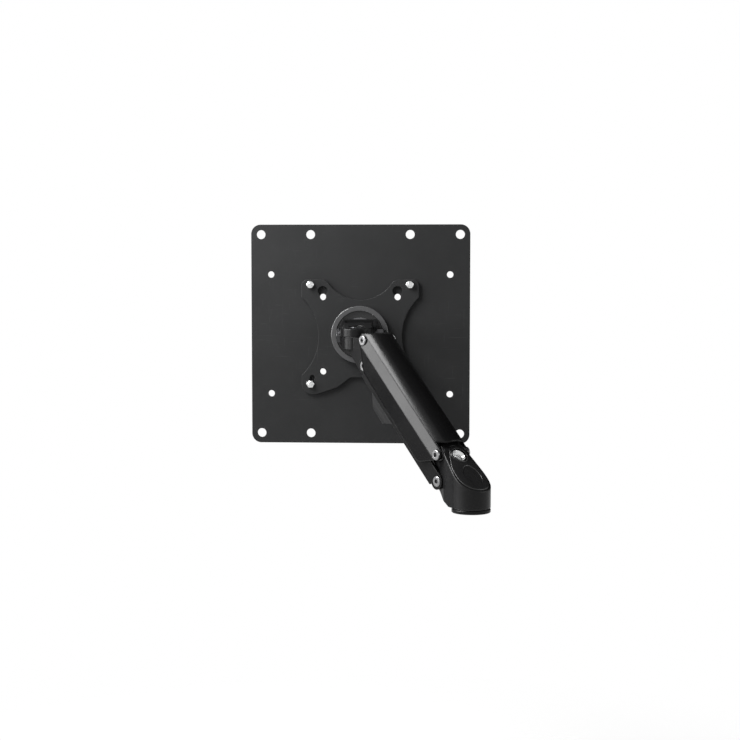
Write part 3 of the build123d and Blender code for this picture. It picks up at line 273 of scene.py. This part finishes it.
def makeScuffs():
    look = scuffsLook
    tree, entry, leave = newGroup("scuffs", look["inputs"], {"Mask": "NodeSocketFloat"})
    coords = tree.nodes.new("ShaderNodeTexCoord")
    strokes = []
    for turn, stretch in look["strokes"]:
        rotation = (turn, turn * look["pitchShare"], turn)
        lay = addNode(tree, "ShaderNodeMapping", Rotation=rotation, Scale=stretch)
        join(tree, coords, "Object", lay, "Vector")
        lines = scaledNoise(tree, (lay, "Vector"), (entry, "Scale"), **look["lines"])
        strokes.append(rampNode(tree, (lines, 0), look["thin"]))
    both = mathNode(tree, "MAXIMUM", (strokes[0], 0), (strokes[1], 0))
    where = addNode(tree, "ShaderNodeTexNoise", **look["where"])
    join(tree, coords, "Object", where, "Vector")
    here = rampNode(tree, (where, 0), look["here"])
    placed = mathNode(tree, "MULTIPLY", (both, 0), (here, 0), clamp=True)
    mask = mathNode(tree, "MULTIPLY", (placed, 0), (entry, "Amount"))
    join(tree, mask, 0, leave, "Mask")
    return tree


edgeWear = makeEdgeWear()
castRipple = makeCastRipple()
scuffs = makeScuffs()
coatGrain = makeCoatGrain()
dustFilm = makeDustFilm()
toolLines = makeToolLines()
print("shared effects ready")


def findNode(tree, kind):
    return next(n for n in tree.nodes if n.type == kind)


def startMaterial(name):
    material = bpy.data.materials.new(name)
    material.use_nodes = True
    tree = material.node_tree
    return material, tree, findNode(tree, "BSDF_PRINCIPLED")


# each colour is three numbers, or a node and its output
def mixColours(tree, factor, first, second):
    mix = tree.nodes.new("ShaderNodeMix")
    mix.data_type = "RGBA"
    join(tree, factor[0], factor[1], mix, 0)
    for place, value in ((mixFirst, first), (mixSecond, second)):
        if isinstance(value[0], float):
            mix.inputs[place].default_value = (*value, 1.0)
        else:
            join(tree, value[0], value[1], mix, place)
    return mix


swellDepth = 0.0004  # height of the slow waves under a coat


# painted and moulded finishes
def coatedFinish(name, look):
    material, tree, shader = startMaterial(name)
    grain = useGroup(tree, coatGrain, {"Scale": look["grainScale"], "Mottle Scale": look["mottleScale"]})
    wear = useGroup(tree, edgeWear, {"Width": look["edgeWidth"], "Round": look["edgeRound"]})
    dust = useGroup(tree, dustFilm, {"Patch Scale": look["patchScale"]})
    marks = useGroup(tree, scuffs, {"Scale": look["scuffScale"], "Amount": look["scuffs"]})
    ripple = useGroup(tree, castRipple, {"Wave Scale": look["waveScale"]})
    shade = mixColours(tree, (grain, "Mottle"), look["dark"], look["light"])
    worn = mathNode(tree, "MULTIPLY", (wear, "Mask"), look["wear"], clamp=True)
    rubbed = mixColours(tree, (worn, 0), (shade, mixResult), look["rubbed"])
    scuffed = mixColours(tree, (marks, "Mask"), (rubbed, mixResult), look["rubbed"])
    speckled = mathNode(tree, "MULTIPLY", (dust, "Specks"), look["specks"], clamp=True)
    dusty = mixColours(tree, (speckled, 0), (scuffed, mixResult), look["dust"])
    join(tree, dusty, mixResult, shader, "Base Color")
    gloss = spread(tree, (dust, "Film"), look["smooth"], look["dull"])
    join(tree, gloss, 0, shader, "Roughness")
    swell = addNode(tree, "ShaderNodeBump", Strength=look["ripple"], Distance=swellDepth)
    join(tree, ripple, "Height", swell, "Height")
    join(tree, wear, "Soft Normal", swell, "Normal")
    bump = addNode(tree, "ShaderNodeBump", Strength=look["bump"], Distance=look["depth"])
    join(tree, grain, "Height", bump, "Height")
    join(tree, swell, "Normal", bump, "Normal")
    join(tree, bump, "Normal", shader, "Normal")
    shader.inputs["Specular IOR Level"].default_value = look["shine"]
    return material


# painted shade: the disc's dish, behind its raised rim, is made a darker grey for the shade in that recess
def paintDishShade(material, look):
    tree = material.node_tree
    shader = findNode(tree, "BSDF_PRINCIPLED")
    painted = shader.inputs["Base Color"].links[0].from_node
    coords = tree.nodes.new("ShaderNodeTexCoord")
    split = tree.nodes.new("ShaderNodeSeparateXYZ")
    join(tree, coords, "Object", split, 0)
    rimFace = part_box("rotation_disc")[0].y
    # mask of the painted shade, from the rim face back into the dish
    dishShadeMask = rampNode(tree, (split, "Y"), (rimFace + look["dishFrom"], rimFace + look["dishTo"]))
    mix = mixColours(tree, (dishShadeMask, 0), (painted, mixResult), look["dish"])
    join(tree, mix, mixResult, shader, "Base Color")


# plated and bare metal
def metalFinish(name, look):
    material, tree, shader = startMaterial(name)
    lines = useGroup(tree, toolLines, {"Scale": look["lineScale"], "Stain Scale": look["stainScale"]})
    wear = useGroup(tree, edgeWear, {"Width": look["edgeWidth"], "Round": look["edgeRound"]})
    shade = mixColours(tree, (lines, "Stain"), look["dark"], look["light"])
    bright = mathNode(tree, "MULTIPLY", (wear, "Mask"), look["wear"], clamp=True)
    rubbed = mixColours(tree, (bright, 0), (shade, mixResult), look["rubbed"])
    join(tree, rubbed, mixResult, shader, "Base Color")
    gloss = spread(tree, (lines, "Stain"), look["smooth"], look["dull"])
    join(tree, gloss, 0, shader, "Roughness")
    bump = addNode(tree, "ShaderNodeBump", Strength=look["bump"], Distance=look["depth"])
    join(tree, lines, "Height", bump, "Height")
    join(tree, wear, "Soft Normal", bump, "Normal")
    join(tree, bump, "Normal", shader, "Normal")
    shader.inputs["Metallic"].default_value = 1.0
    return material


plateCoat = {
    "grainScale": 1500.0, "mottleScale": 24.0, "patchScale": 14.0, "waveScale": 22.0,
    "dark": (0.0138, 0.0140, 0.0143), "light": (0.0204, 0.0206, 0.0209),
    "edgeWidth": 0.0005, "edgeRound": 0.0005, "wear": 0.5, "rubbed": (0.075, 0.075, 0.075),
    "scuffScale": 40.0, "scuffs": 0.18, "specks": 0.25, "dust": (0.12, 0.12, 0.118),
    "smooth": 0.40, "dull": 0.52, "ripple": 0.05, "bump": 0.32, "depth": 0.00006, "shine": 0.08,
}
castPaint = {
    "grainScale": 900.0, "mottleScale": 40.0, "patchScale": 22.0, "waveScale": 60.0,
    "dark": (0.0028, 0.0028, 0.0029), "light": (0.0052, 0.0052, 0.0054),
    "edgeWidth": 0.0007, "edgeRound": 0.0007, "wear": 0.45, "rubbed": (0.06, 0.06, 0.06),
    "scuffScale": 70.0, "scuffs": 0.16, "specks": 0.12, "dust": (0.08, 0.08, 0.079),
    "smooth": 0.28, "dull": 0.38, "ripple": 0.05, "bump": 0.12, "depth": 0.00005, "shine": 0.12,
}
shellPaint = {
    **castPaint, "edgeWidth": 0.0006, "edgeRound": 0.0024, "wear": 0.35, "waveScale": 40.0,
    "smooth": 0.20, "dull": 0.28,
}
# a lighter copy of the cast paint for the elbow housing: painted sheen, raising its tones for the sheen on its
# deck
elbowLitPaint = {
    **castPaint, "dark": (0.0050, 0.0050, 0.0052), "light": (0.0080, 0.0080, 0.0083),
    "grainScale": 1200.0, "smooth": 0.30, "dull": 0.40, "shine": 0.16,
}
mouldedBlack = {
    "grainScale": 2200.0, "mottleScale": 50.0, "patchScale": 30.0, "waveScale": 80.0,
    "dark": (0.0070, 0.0070, 0.0072), "light": (0.0110, 0.0110, 0.0113),
    "edgeWidth": 0.0006, "edgeRound": 0.0006, "wear": 0.3, "rubbed": (0.04, 0.04, 0.04),
    "scuffScale": 90.0, "scuffs": 0.12, "specks": 0.16, "dust": (0.09, 0.09, 0.089),
    "smooth": 0.30, "dull": 0.42, "ripple": 0.03, "bump": 0.3, "depth": 0.00004, "shine": 0.40,
}
clipBlack = {
    **mouldedBlack, "smooth": 0.44, "dull": 0.56, "shine": 0.10,
}
discGrey = {
    "grainScale": 1300.0, "mottleScale": 60.0, "patchScale": 40.0, "waveScale": 90.0,
    "dark": (0.030, 0.030, 0.031), "light": (0.050, 0.050, 0.051),
    "edgeWidth": 0.0008, "edgeRound": 0.0008, "wear": 0.6, "rubbed": (0.20, 0.20, 0.20),
    "scuffScale": 110.0, "scuffs": 0.2, "specks": 0.12, "dust": (0.2, 0.2, 0.2),
    "smooth": 0.2, "dull": 0.3, "ripple": 0.04, "bump": 0.12, "depth": 0.00004, "shine": 0.4,
    # the dish colour and its depth range: painted shade on the dish behind the rim
    "dish": (0.009, 0.009, 0.0093), "dishFrom": 0.0004, "dishTo": 0.0018,
}
bushGrey = {
    "grainScale": 2600.0, "mottleScale": 120.0, "patchScale": 90.0, "waveScale": 200.0,
    "dark": (0.04, 0.04, 0.042), "light": (0.07, 0.07, 0.073),
    "edgeWidth": 0.0003, "edgeRound": 0.0003, "wear": 0.3, "rubbed": (0.14, 0.14, 0.14),
    "scuffScale": 200.0, "scuffs": 0.1, "specks": 0.1, "dust": (0.18, 0.18, 0.18),
    "smooth": 0.35, "dull": 0.5, "ripple": 0.02, "bump": 0.2, "depth": 0.00003, "shine": 0.4,
}
springBlack = {
    "grainScale": 700.0, "mottleScale": 60.0, "patchScale": 40.0, "waveScale": 60.0,
    "dark": (0.005, 0.005, 0.005), "light": (0.009, 0.009, 0.009),
    "edgeWidth": 0.0005, "edgeRound": 0.0005, "wear": 0.3, "rubbed": (0.08, 0.08, 0.08),
    "scuffScale": 90.0, "scuffs": 0.2, "specks": 0.1, "dust": (0.1, 0.1, 0.1),
    "smooth": 0.12, "dull": 0.22, "ripple": 0.03, "bump": 0.08, "depth": 0.00004, "shine": 0.4,
}
zincPlate = {
    "lineScale": 2400.0, "stainScale": 220.0,
    "dark": (0.50, 0.51, 0.52), "light": (0.72, 0.72, 0.71),
    "edgeWidth": 0.0003, "edgeRound": 0.0003, "wear": 0.5, "rubbed": (0.86, 0.86, 0.85),
    "smooth": 0.18, "dull": 0.34, "bump": 0.12, "depth": 0.00003,
}
pinSteel = {
    "lineScale": 2800.0, "stainScale": 300.0,
    "dark": (0.16, 0.16, 0.165), "light": (0.30, 0.30, 0.30),
    "edgeWidth": 0.0003, "edgeRound": 0.0003, "wear": 0.6, "rubbed": (0.55, 0.55, 0.55),
    "smooth": 0.26, "dull": 0.4, "bump": 0.15, "depth": 0.00003,
}
darkPlate = {
    "lineScale": 2400.0, "stainScale": 260.0,
    "dark": (0.030, 0.030, 0.032), "light": (0.060, 0.060, 0.062),
    "edgeWidth": 0.0003, "edgeRound": 0.0003, "wear": 0.5, "rubbed": (0.22, 0.22, 0.22),
    "smooth": 0.2, "dull": 0.36, "bump": 0.12, "depth": 0.00003,
}
polishedRod = {
    "lineScale": 3200.0, "stainScale": 120.0,
    "dark": (0.6, 0.61, 0.62), "light": (0.8, 0.8, 0.8),
    "edgeWidth": 0.0003, "edgeRound": 0.0003, "wear": 0.3, "rubbed": (0.9, 0.9, 0.9),
    "smooth": 0.06, "dull": 0.14, "bump": 0.04, "depth": 0.00002,
}

coatedLooks = {
    "plateCoat": plateCoat, "castPaint": castPaint, "shellPaint": shellPaint,
    "elbowLitPaint": elbowLitPaint, "mouldedBlack": mouldedBlack, "clipBlack": clipBlack,
    "discGrey": discGrey, "bushGrey": bushGrey, "springBlack": springBlack,
}
metalLooks = {
    "zincPlate": zincPlate, "pinSteel": pinSteel, "darkPlate": darkPlate, "polishedRod": polishedRod,
}
finishes = {name: coatedFinish(name, look) for name, look in coatedLooks.items()}
finishes.update({name: metalFinish(name, look) for name, look in metalLooks.items()})
# adds the painted shade in the disc's dish
paintDishShade(finishes["discGrey"], discGrey)
print("finishes ready:", len(finishes))

# which finish goes on which node
nodeFinish = {
    "plateCoat": ["adapter_plate", "vesa_plate"],
    "castPaint": ["lower_link", "front_link", "head_knuckle", "pivot_collar", "tilt_clevis"],
    "shellPaint": ["arm_shell"],
    "elbowLitPaint": ["elbow_housing"],
    "mouldedBlack": ["elbow_cap"],
    "clipBlack": ["cable_clip"],
    "discGrey": ["rotation_disc"],
    "bushGrey": [
        "swivel_bush", "thrust_washer", "swivel_friction_ring", "rotation_washer",
        "upper_rear_bushes", "upper_front_bushes", "lower_rear_bushes", "lower_front_bushes",
    ],
    "springBlack": ["gas_cylinder"],
    "zincPlate": [
        "pivot_tube", "retaining_ring", "tension_bolt", "barrel_nut", "anchor_pin",
        "rotation_bolt", "rotation_nut", "rotation_nut_washer", "adapter_screws", "adapter_nuts",
    ],
    "pinSteel": ["upper_rear_screws", "upper_front_screws", "lower_rear_screws", "lower_front_screws"],
    "darkPlate": [
        "swivel_bolt", "swivel_nut", "swivel_washer", "tilt_bolt", "tilt_nut", "tilt_washers",
    ],
    "polishedRod": ["gas_rod"],
}
for finishName, members in nodeFinish.items():
    for nodeName in members:
        mesh = nodes[nodeName].data
        mesh.materials.clear()
        mesh.materials.append(finishes[finishName])
print("nodes dressed:", sum(len(m) for m in nodeFinish.values()))

# thread crests on the screw ends that stand out of their nuts
threadEnds = {
    "adapter_screws": {
        "nut": "adapter_nuts", "axis": 1, "apart": 0.100,
        "radius": 0.0020, "pitch": 0.0007, "crest": 0.00022,
    },
    "tilt_bolt": {
        "nut": "tilt_nut", "axis": 0, "apart": 0.0,
        "radius": 0.0040, "pitch": 0.00125, "crest": 0.00035,
    },
    "rotation_bolt": {
        "nut": "rotation_nut", "axis": 1, "apart": 0.0,
        "radius": 0.0050, "pitch": 0.0007, "crest": 0.00022,
    },
}
# the crest's outline in shares of the pitch; its feet are sunk into the screw
threadShape = {
    "steps": 28, "spareTurns": 0.55, "fadeSteps": 5, "sunk": 0.00004,
    "footFrom": 0.05, "crestFrom": 0.24, "crestTo": 0.31, "footTo": 0.5,
}


def bodyOf(nodeName):
    for body, members in frame["record"]["behaviour"]["bodies"].items():
        if nodeName in members:
            return body


# where the screw leaves its nut, and its tip
def exposedEnd(screwName, end):
    axis = end["axis"]
    screwLow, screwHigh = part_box(screwName)
    nutLow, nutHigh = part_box(end["nut"])
    if nutLow[axis] - screwLow[axis] < screwHigh[axis] - nutHigh[axis]:
        return nutLow[axis], screwLow[axis]
    return nutHigh[axis], screwHigh[axis]


# faces between rows of points that go round, and a cap at each end
def skinRows(mesh, rows):
    around = len(rows[0])
    for here, there in zip(rows, rows[1:]):
        for k in range(around):
            after = (k + 1) % around
            mesh.faces.new((here[k], here[after], there[after], there[k]))
    mesh.faces.new(rows[0])
    mesh.faces.new(list(reversed(rows[-1])))
    bmesh.ops.recalc_face_normals(mesh, faces=mesh.faces)


def crestRing(mesh, centre, start, tip, end):
    shape = threadShape
    axis = end["axis"]
    rise = 1.0 if tip > start else -1.0
    turns = abs(tip - start) / end["pitch"] - shape["spareTurns"]
    first, second = [k for k in range(3) if k != axis]
    rows = []
    count = int(turns * shape["steps"])
    for step in range(count + 1):
        angle = 2 * math.pi * step / shape["steps"]
        fade = min(1.0, step / shape["fadeSteps"], (count - step) / shape["fadeSteps"])
        outline = (
            (shape["footFrom"], -shape["sunk"]),
            (shape["crestFrom"], end["crest"] * fade),
            (shape["crestTo"], end["crest"] * fade),
            (shape["footTo"], -shape["sunk"]),
        )
        row = []
        for offset, height in outline:
            point = Vector(centre)
            point[axis] = start + rise * end["pitch"] * (step / shape["steps"] + offset)
            point[first] += (end["radius"] + height) * math.cos(angle)
            point[second] += (end["radius"] + height) * math.sin(angle)
            row.append(mesh.verts.new(point))
        rows.append(row)
    skinRows(mesh, rows)


# a finished mesh as an object in the scene
def placePiece(name, mesh, material):
    data = bpy.data.meshes.new(name)
    mesh.to_mesh(data)
    mesh.free()
    data.materials.append(material)
    piece = bpy.data.objects.new(name, data)
    bpy.context.scene.collection.objects.link(piece)
    return piece


def makeThreadEnds():
    for screwName, end in threadEnds.items():
        nutFace, tip = exposedEnd(screwName, end)
        low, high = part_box(end["nut"])
        middle = (low + high) / 2
        half = end["apart"] / 2
        places = [middle]
        if half:
            places = [middle + Vector((x, 0.0, z)) for x in (-half, half) for z in (-half, half)]
        mesh = bmesh.new()
        for place in places:
            crestRing(mesh, place, nutFace, tip, end)
        piece = placePiece(screwName + "Thread", mesh, nodes[screwName].data.materials[0])
        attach(piece, bodyOf(screwName))


makeThreadEnds()
print("thread ends ready:", len(threadEnds))

# tension bolt: socket head with a flared cup, thread on the shank
# sizes in mm, and depths measured from the top of the head
boltLook = {
    "around": 36, "sharpAngle": 32.0, "raise": 1.2,  # raise: above the solid's head
    "socketFlats": 6.2, "socketDepth": 4.6, "socketTaper": 0.1,
    "drillRadius": 0.6, "drillDepth": 0.5,
    "cupDepth": 2.8, "mouthDepth": 0.35, "mouthFlare": 0.5,
    "cup": ((4.25, 2.7), (6.0, 0.4), (6.15, 0.15), (6.3, 0.12), (6.5, 0.4)),  # radius and depth
    "headHeight": 6.16, "headRadius": 6.5, "underChamfer": 0.2,
    "shankRadius": 4.0, "neckStep": 0.01, "plain": 2.0, "runIn": 1.2,
    "pitch": 1.25, "threadDepth": 0.55, "grooveSlope": 2.4, "rowsPerTurn": 8,
    "tipLength": 1.0, "tipDrop": 0.7,
}


def hexagon(flats):
    third = math.pi / 3
    return lambda angle: flats / 2 / math.cos((angle % third) - third / 2)


def circle(radius):
    return lambda angle: radius


# radius of the shank at a depth, with its thread groove and its chamfered tip
def threaded(depth, length):
    look = boltLook
    fromPlain = depth - look["headHeight"] - look["plain"]
    start = min(1.0, max(0.0, fromPlain / look["runIn"]))
    drop = max(0.0, 1.0 - (length - depth) / look["tipLength"]) * look["tipDrop"]

    def radiusAt(angle):
        phase = (depth / look["pitch"] - angle / (2 * math.pi)) % 1.0
        groove = max(0.0, 1.0 - abs(phase - 0.5) * look["grooveSlope"])
        return look["shankRadius"] - look["threadDepth"] * groove * start - drop

    return radiusAt


# depth and radius of every row of points, from the bottom of the socket to the bolt's tip
def boltProfile(length):
    look = boltLook
    flats = look["socketFlats"]
    headHeight = look["headHeight"]
    profile = [
        (look["socketDepth"] + look["drillDepth"], circle(look["drillRadius"])),
        (look["socketDepth"], hexagon(flats - look["socketTaper"])),
        (look["cupDepth"] + look["mouthDepth"], hexagon(flats)),
        (look["cupDepth"], hexagon(flats + look["mouthFlare"])),
    ]
    profile += [(depth, circle(radius)) for radius, depth in look["cup"]]
    profile += [
        (headHeight - look["underChamfer"], circle(look["headRadius"])),
        (headHeight, circle(look["headRadius"] - look["underChamfer"])),
        (headHeight, circle(look["shankRadius"] + look["neckStep"])),
    ]
    shank = length - headHeight
    steps = int(shank / look["pitch"] * look["rowsPerTurn"])
    for step in range(1, steps + 1):
        depth = headHeight + shank * step / steps
        profile.append((depth, threaded(depth, length)))
    return profile


def makeTensionBolt():
    joint = next(j for j in frame["joints"] if j["name"] == "tension_turn")
    origin = Vector(joint["pos_m"])
    axis = Vector(joint["axis"]).normalized()
    side = axis.cross(Vector((0.0, 0.0, 1.0))).normalized()
    other = axis.cross(side)
    reach = [(v.co - origin).dot(axis) for v in nodes["tension_bolt"].data.vertices]
    top = min(reach) - boltLook["raise"] / perMetre
    length = (max(reach) - top) * perMetre
    around = boltLook["around"]
    mesh = bmesh.new()
    rows = []
    for depth, radiusAt in boltProfile(length):
        middle = origin + axis * (top + depth / perMetre)
        row = []
        for k in range(around):
            angle = 2 * math.pi * k / around
            outward = side * math.cos(angle) + other * math.sin(angle)
            row.append(mesh.verts.new(middle + outward * (radiusAt(angle) / perMetre)))
        rows.append(row)
    skinRows(mesh, rows)
    for face in mesh.faces:
        face.smooth = True
    piece = placePiece("tensionBolt", mesh, finishes["zincPlate"])
    piece.data.set_sharp_from_angle(angle=math.radians(boltLook["sharpAngle"]))
    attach(piece, "tension_bolt")
    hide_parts("tension_bolt")


makeTensionBolt()
print("tension bolt ready")

studio = {
    "floorDrop": 0.40,  # the arm hangs on a pole, so the surface under it is well below the collar
    "floorRadius": 1.6,
    "floorSides": 96,
    "floorFade": (0.35, 0.85),
    "floorGlow": 0.72,
    "floorColour": (0.92, 0.92, 0.92),
    "floorRoughness": 0.9,
    "skyLight": 0.20,
}


# 1 for what the camera sees, straight, mirrored or through a clear piece
def seenRays(tree):
    path = tree.nodes.new("ShaderNodeLightPath")
    seen = mathNode(tree, "MAXIMUM", (path, "Is Camera Ray"), (path, "Is Glossy Ray"))
    return mathNode(tree, "MAXIMUM", (seen, 0), (path, "Is Transmission Ray"))


# plain matt paint for the floor and the cards
def mattMaterial(name, colour, roughness):
    material, tree, shader = startMaterial(name)
    shader.inputs["Base Color"].default_value = (*colour, 1.0)
    shader.inputs["Roughness"].default_value = roughness
    shader.inputs["Specular IOR Level"].default_value = 0.0
    return material, tree, shader


def mixShaders(tree, factor, first, second):
    mix = tree.nodes.new("ShaderNodeMixShader")
    for place, node in enumerate((factor, first, second)):
        join(tree, node, 0, mix, place)
    return mix


# pale round floor that takes shadows and fades out towards its edge
def makeFloor():
    centre = (cadLow + cadHigh) / 2
    bpy.ops.mesh.primitive_circle_add(
        vertices=studio["floorSides"], radius=studio["floorRadius"], fill_type="NGON"
    )
    floor = bpy.context.object
    floor.name = "studioFloor"
    floor.location = (centre.x, centre.y, cadLow.z - studio["floorDrop"])
    material, tree, shader = mattMaterial("paleFloor", studio["floorColour"], studio["floorRoughness"])
    coords = tree.nodes.new("ShaderNodeTexCoord")
    away = tree.nodes.new("ShaderNodeVectorMath")
    away.operation = "LENGTH"
    join(tree, coords, "Object", away, 0)
    fade = rampNode(tree, (away, "Value"), studio["floorFade"])
    fade.interpolation_type = "SMOOTHSTEP"
    paler = mathNode(tree, "MULTIPLY", (seenRays(tree), 0), studio["floorGlow"])
    glow = tree.nodes.new("ShaderNodeEmission")
    clear = tree.nodes.new("ShaderNodeBsdfTransparent")
    whitened = mixShaders(tree, paler, shader, glow)
    blend = mixShaders(tree, fade, whitened, clear)
    join(tree, blend, 0, findNode(tree, "OUTPUT_MATERIAL"), 0)
    floor.data.materials.append(material)


# white where it is seen, and a weaker light on the object
def makeSky():
    world = bpy.data.worlds.new("studioSky")
    bpy.context.scene.world = world
    world.use_nodes = True
    tree = world.node_tree
    background = findNode(tree, "BACKGROUND")
    background.inputs["Color"].default_value = (1.0, 1.0, 1.0, 1.0)
    strength = spread(tree, (seenRays(tree), 0), studio["skyLight"], 1.0)
    join(tree, strength, 0, background, "Strength")


softboxes = {
    "leftBox": {"from": (-1.20, -0.24, 0.29), "size": 0.60, "power": 20.0},
    "keyBox": {"from": (-0.35, -0.23, 0.42), "size": 0.26, "power": 8.0},
    "frontBox": {"from": (-0.85, -0.70, 0.10), "size": 0.30, "power": 3.0},
    "rightBox": {"from": (1.05, -0.45, 0.25), "size": 0.40, "power": 3.0},
    "backBox": {"from": (-0.30, 1.10, 0.60), "size": 0.60, "power": 6.0},
}
# black cards that only show in reflections: far left, over the arm, and behind its right side
darkCards = {
    "leftCard": {"from": (-1.00, 0.42, -0.10), "size": 0.7},
    "ceilingCard": {"from": (0.32, 0.18, 0.95), "size": 1.4},
    "backCard": {"from": (0.45, 0.80, 0.36), "size": 1.3},
}
cardColour = (0.01, 0.01, 0.01)
cardRoughness = 1.0


def pointAt(holder, aim, offset):
    holder.location = aim + Vector(offset)
    holder.rotation_euler = (aim - holder.location).to_track_quat("-Z", "Y").to_euler()


def makeLamps(aim):
    for name, box in softboxes.items():
        lamp = bpy.data.lights.new(name, "AREA")
        lamp.size = box["size"]
        lamp.energy = box["power"]
        holder = bpy.data.objects.new(name, lamp)
        bpy.context.scene.collection.objects.link(holder)
        pointAt(holder, aim, box["from"])


def makeDarkCards(aim):
    material = mattMaterial("cardBlack", cardColour, cardRoughness)[0]
    for name, sheet in darkCards.items():
        bpy.ops.mesh.primitive_plane_add(size=sheet["size"])
        card = bpy.context.object
        card.name = name
        pointAt(card, aim, sheet["from"])
        card.visible_camera = False
        card.visible_diffuse = False
        card.visible_shadow = False
        card.data.materials.append(material)


photoCamera = {
    "azimuth": 3.75, "elevation": 4.05, "distance": 1.5, "clipEnd": 20.0,
    "focalPixels": 1490.0, "imagePixels": 740.0, "sensor": 36.0,
    "aimRight": 0.00978, "aimUp": -0.03591,
}


# the camera looks at a point beside the middle of the adapter plate, which is returned
def makeCamera():
    plateLow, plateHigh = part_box("adapter_plate")
    aim = Vector((
        (plateLow.x + plateHigh.x) / 2 + photoCamera["aimRight"],
        plateLow.y,
        (plateLow.z + plateHigh.z) / 2 + photoCamera["aimUp"],
    ))
    turn = math.radians(photoCamera["azimuth"])
    lift = math.radians(photoCamera["elevation"])
    level = math.cos(lift)
    back = Vector((math.sin(turn) * level, -math.cos(turn) * level, math.sin(lift)))
    camera = bpy.data.cameras.new("photoCamera")
    camera.sensor_width = photoCamera["sensor"]
    camera.lens = photoCamera["focalPixels"] / photoCamera["imagePixels"] * photoCamera["sensor"]
    camera.clip_end = photoCamera["clipEnd"]
    holder = bpy.data.objects.new("photoCamera", camera)
    bpy.context.scene.collection.objects.link(holder)
    pointAt(holder, aim, back * photoCamera["distance"])
    bpy.context.scene.camera = holder
    return aim


makeFloor()
makeSky()
photoAim = makeCamera()
makeLamps(photoAim)
makeDarkCards(photoAim)
bpy.context.scene.view_settings.view_transform = "Standard"
print("studio ready")
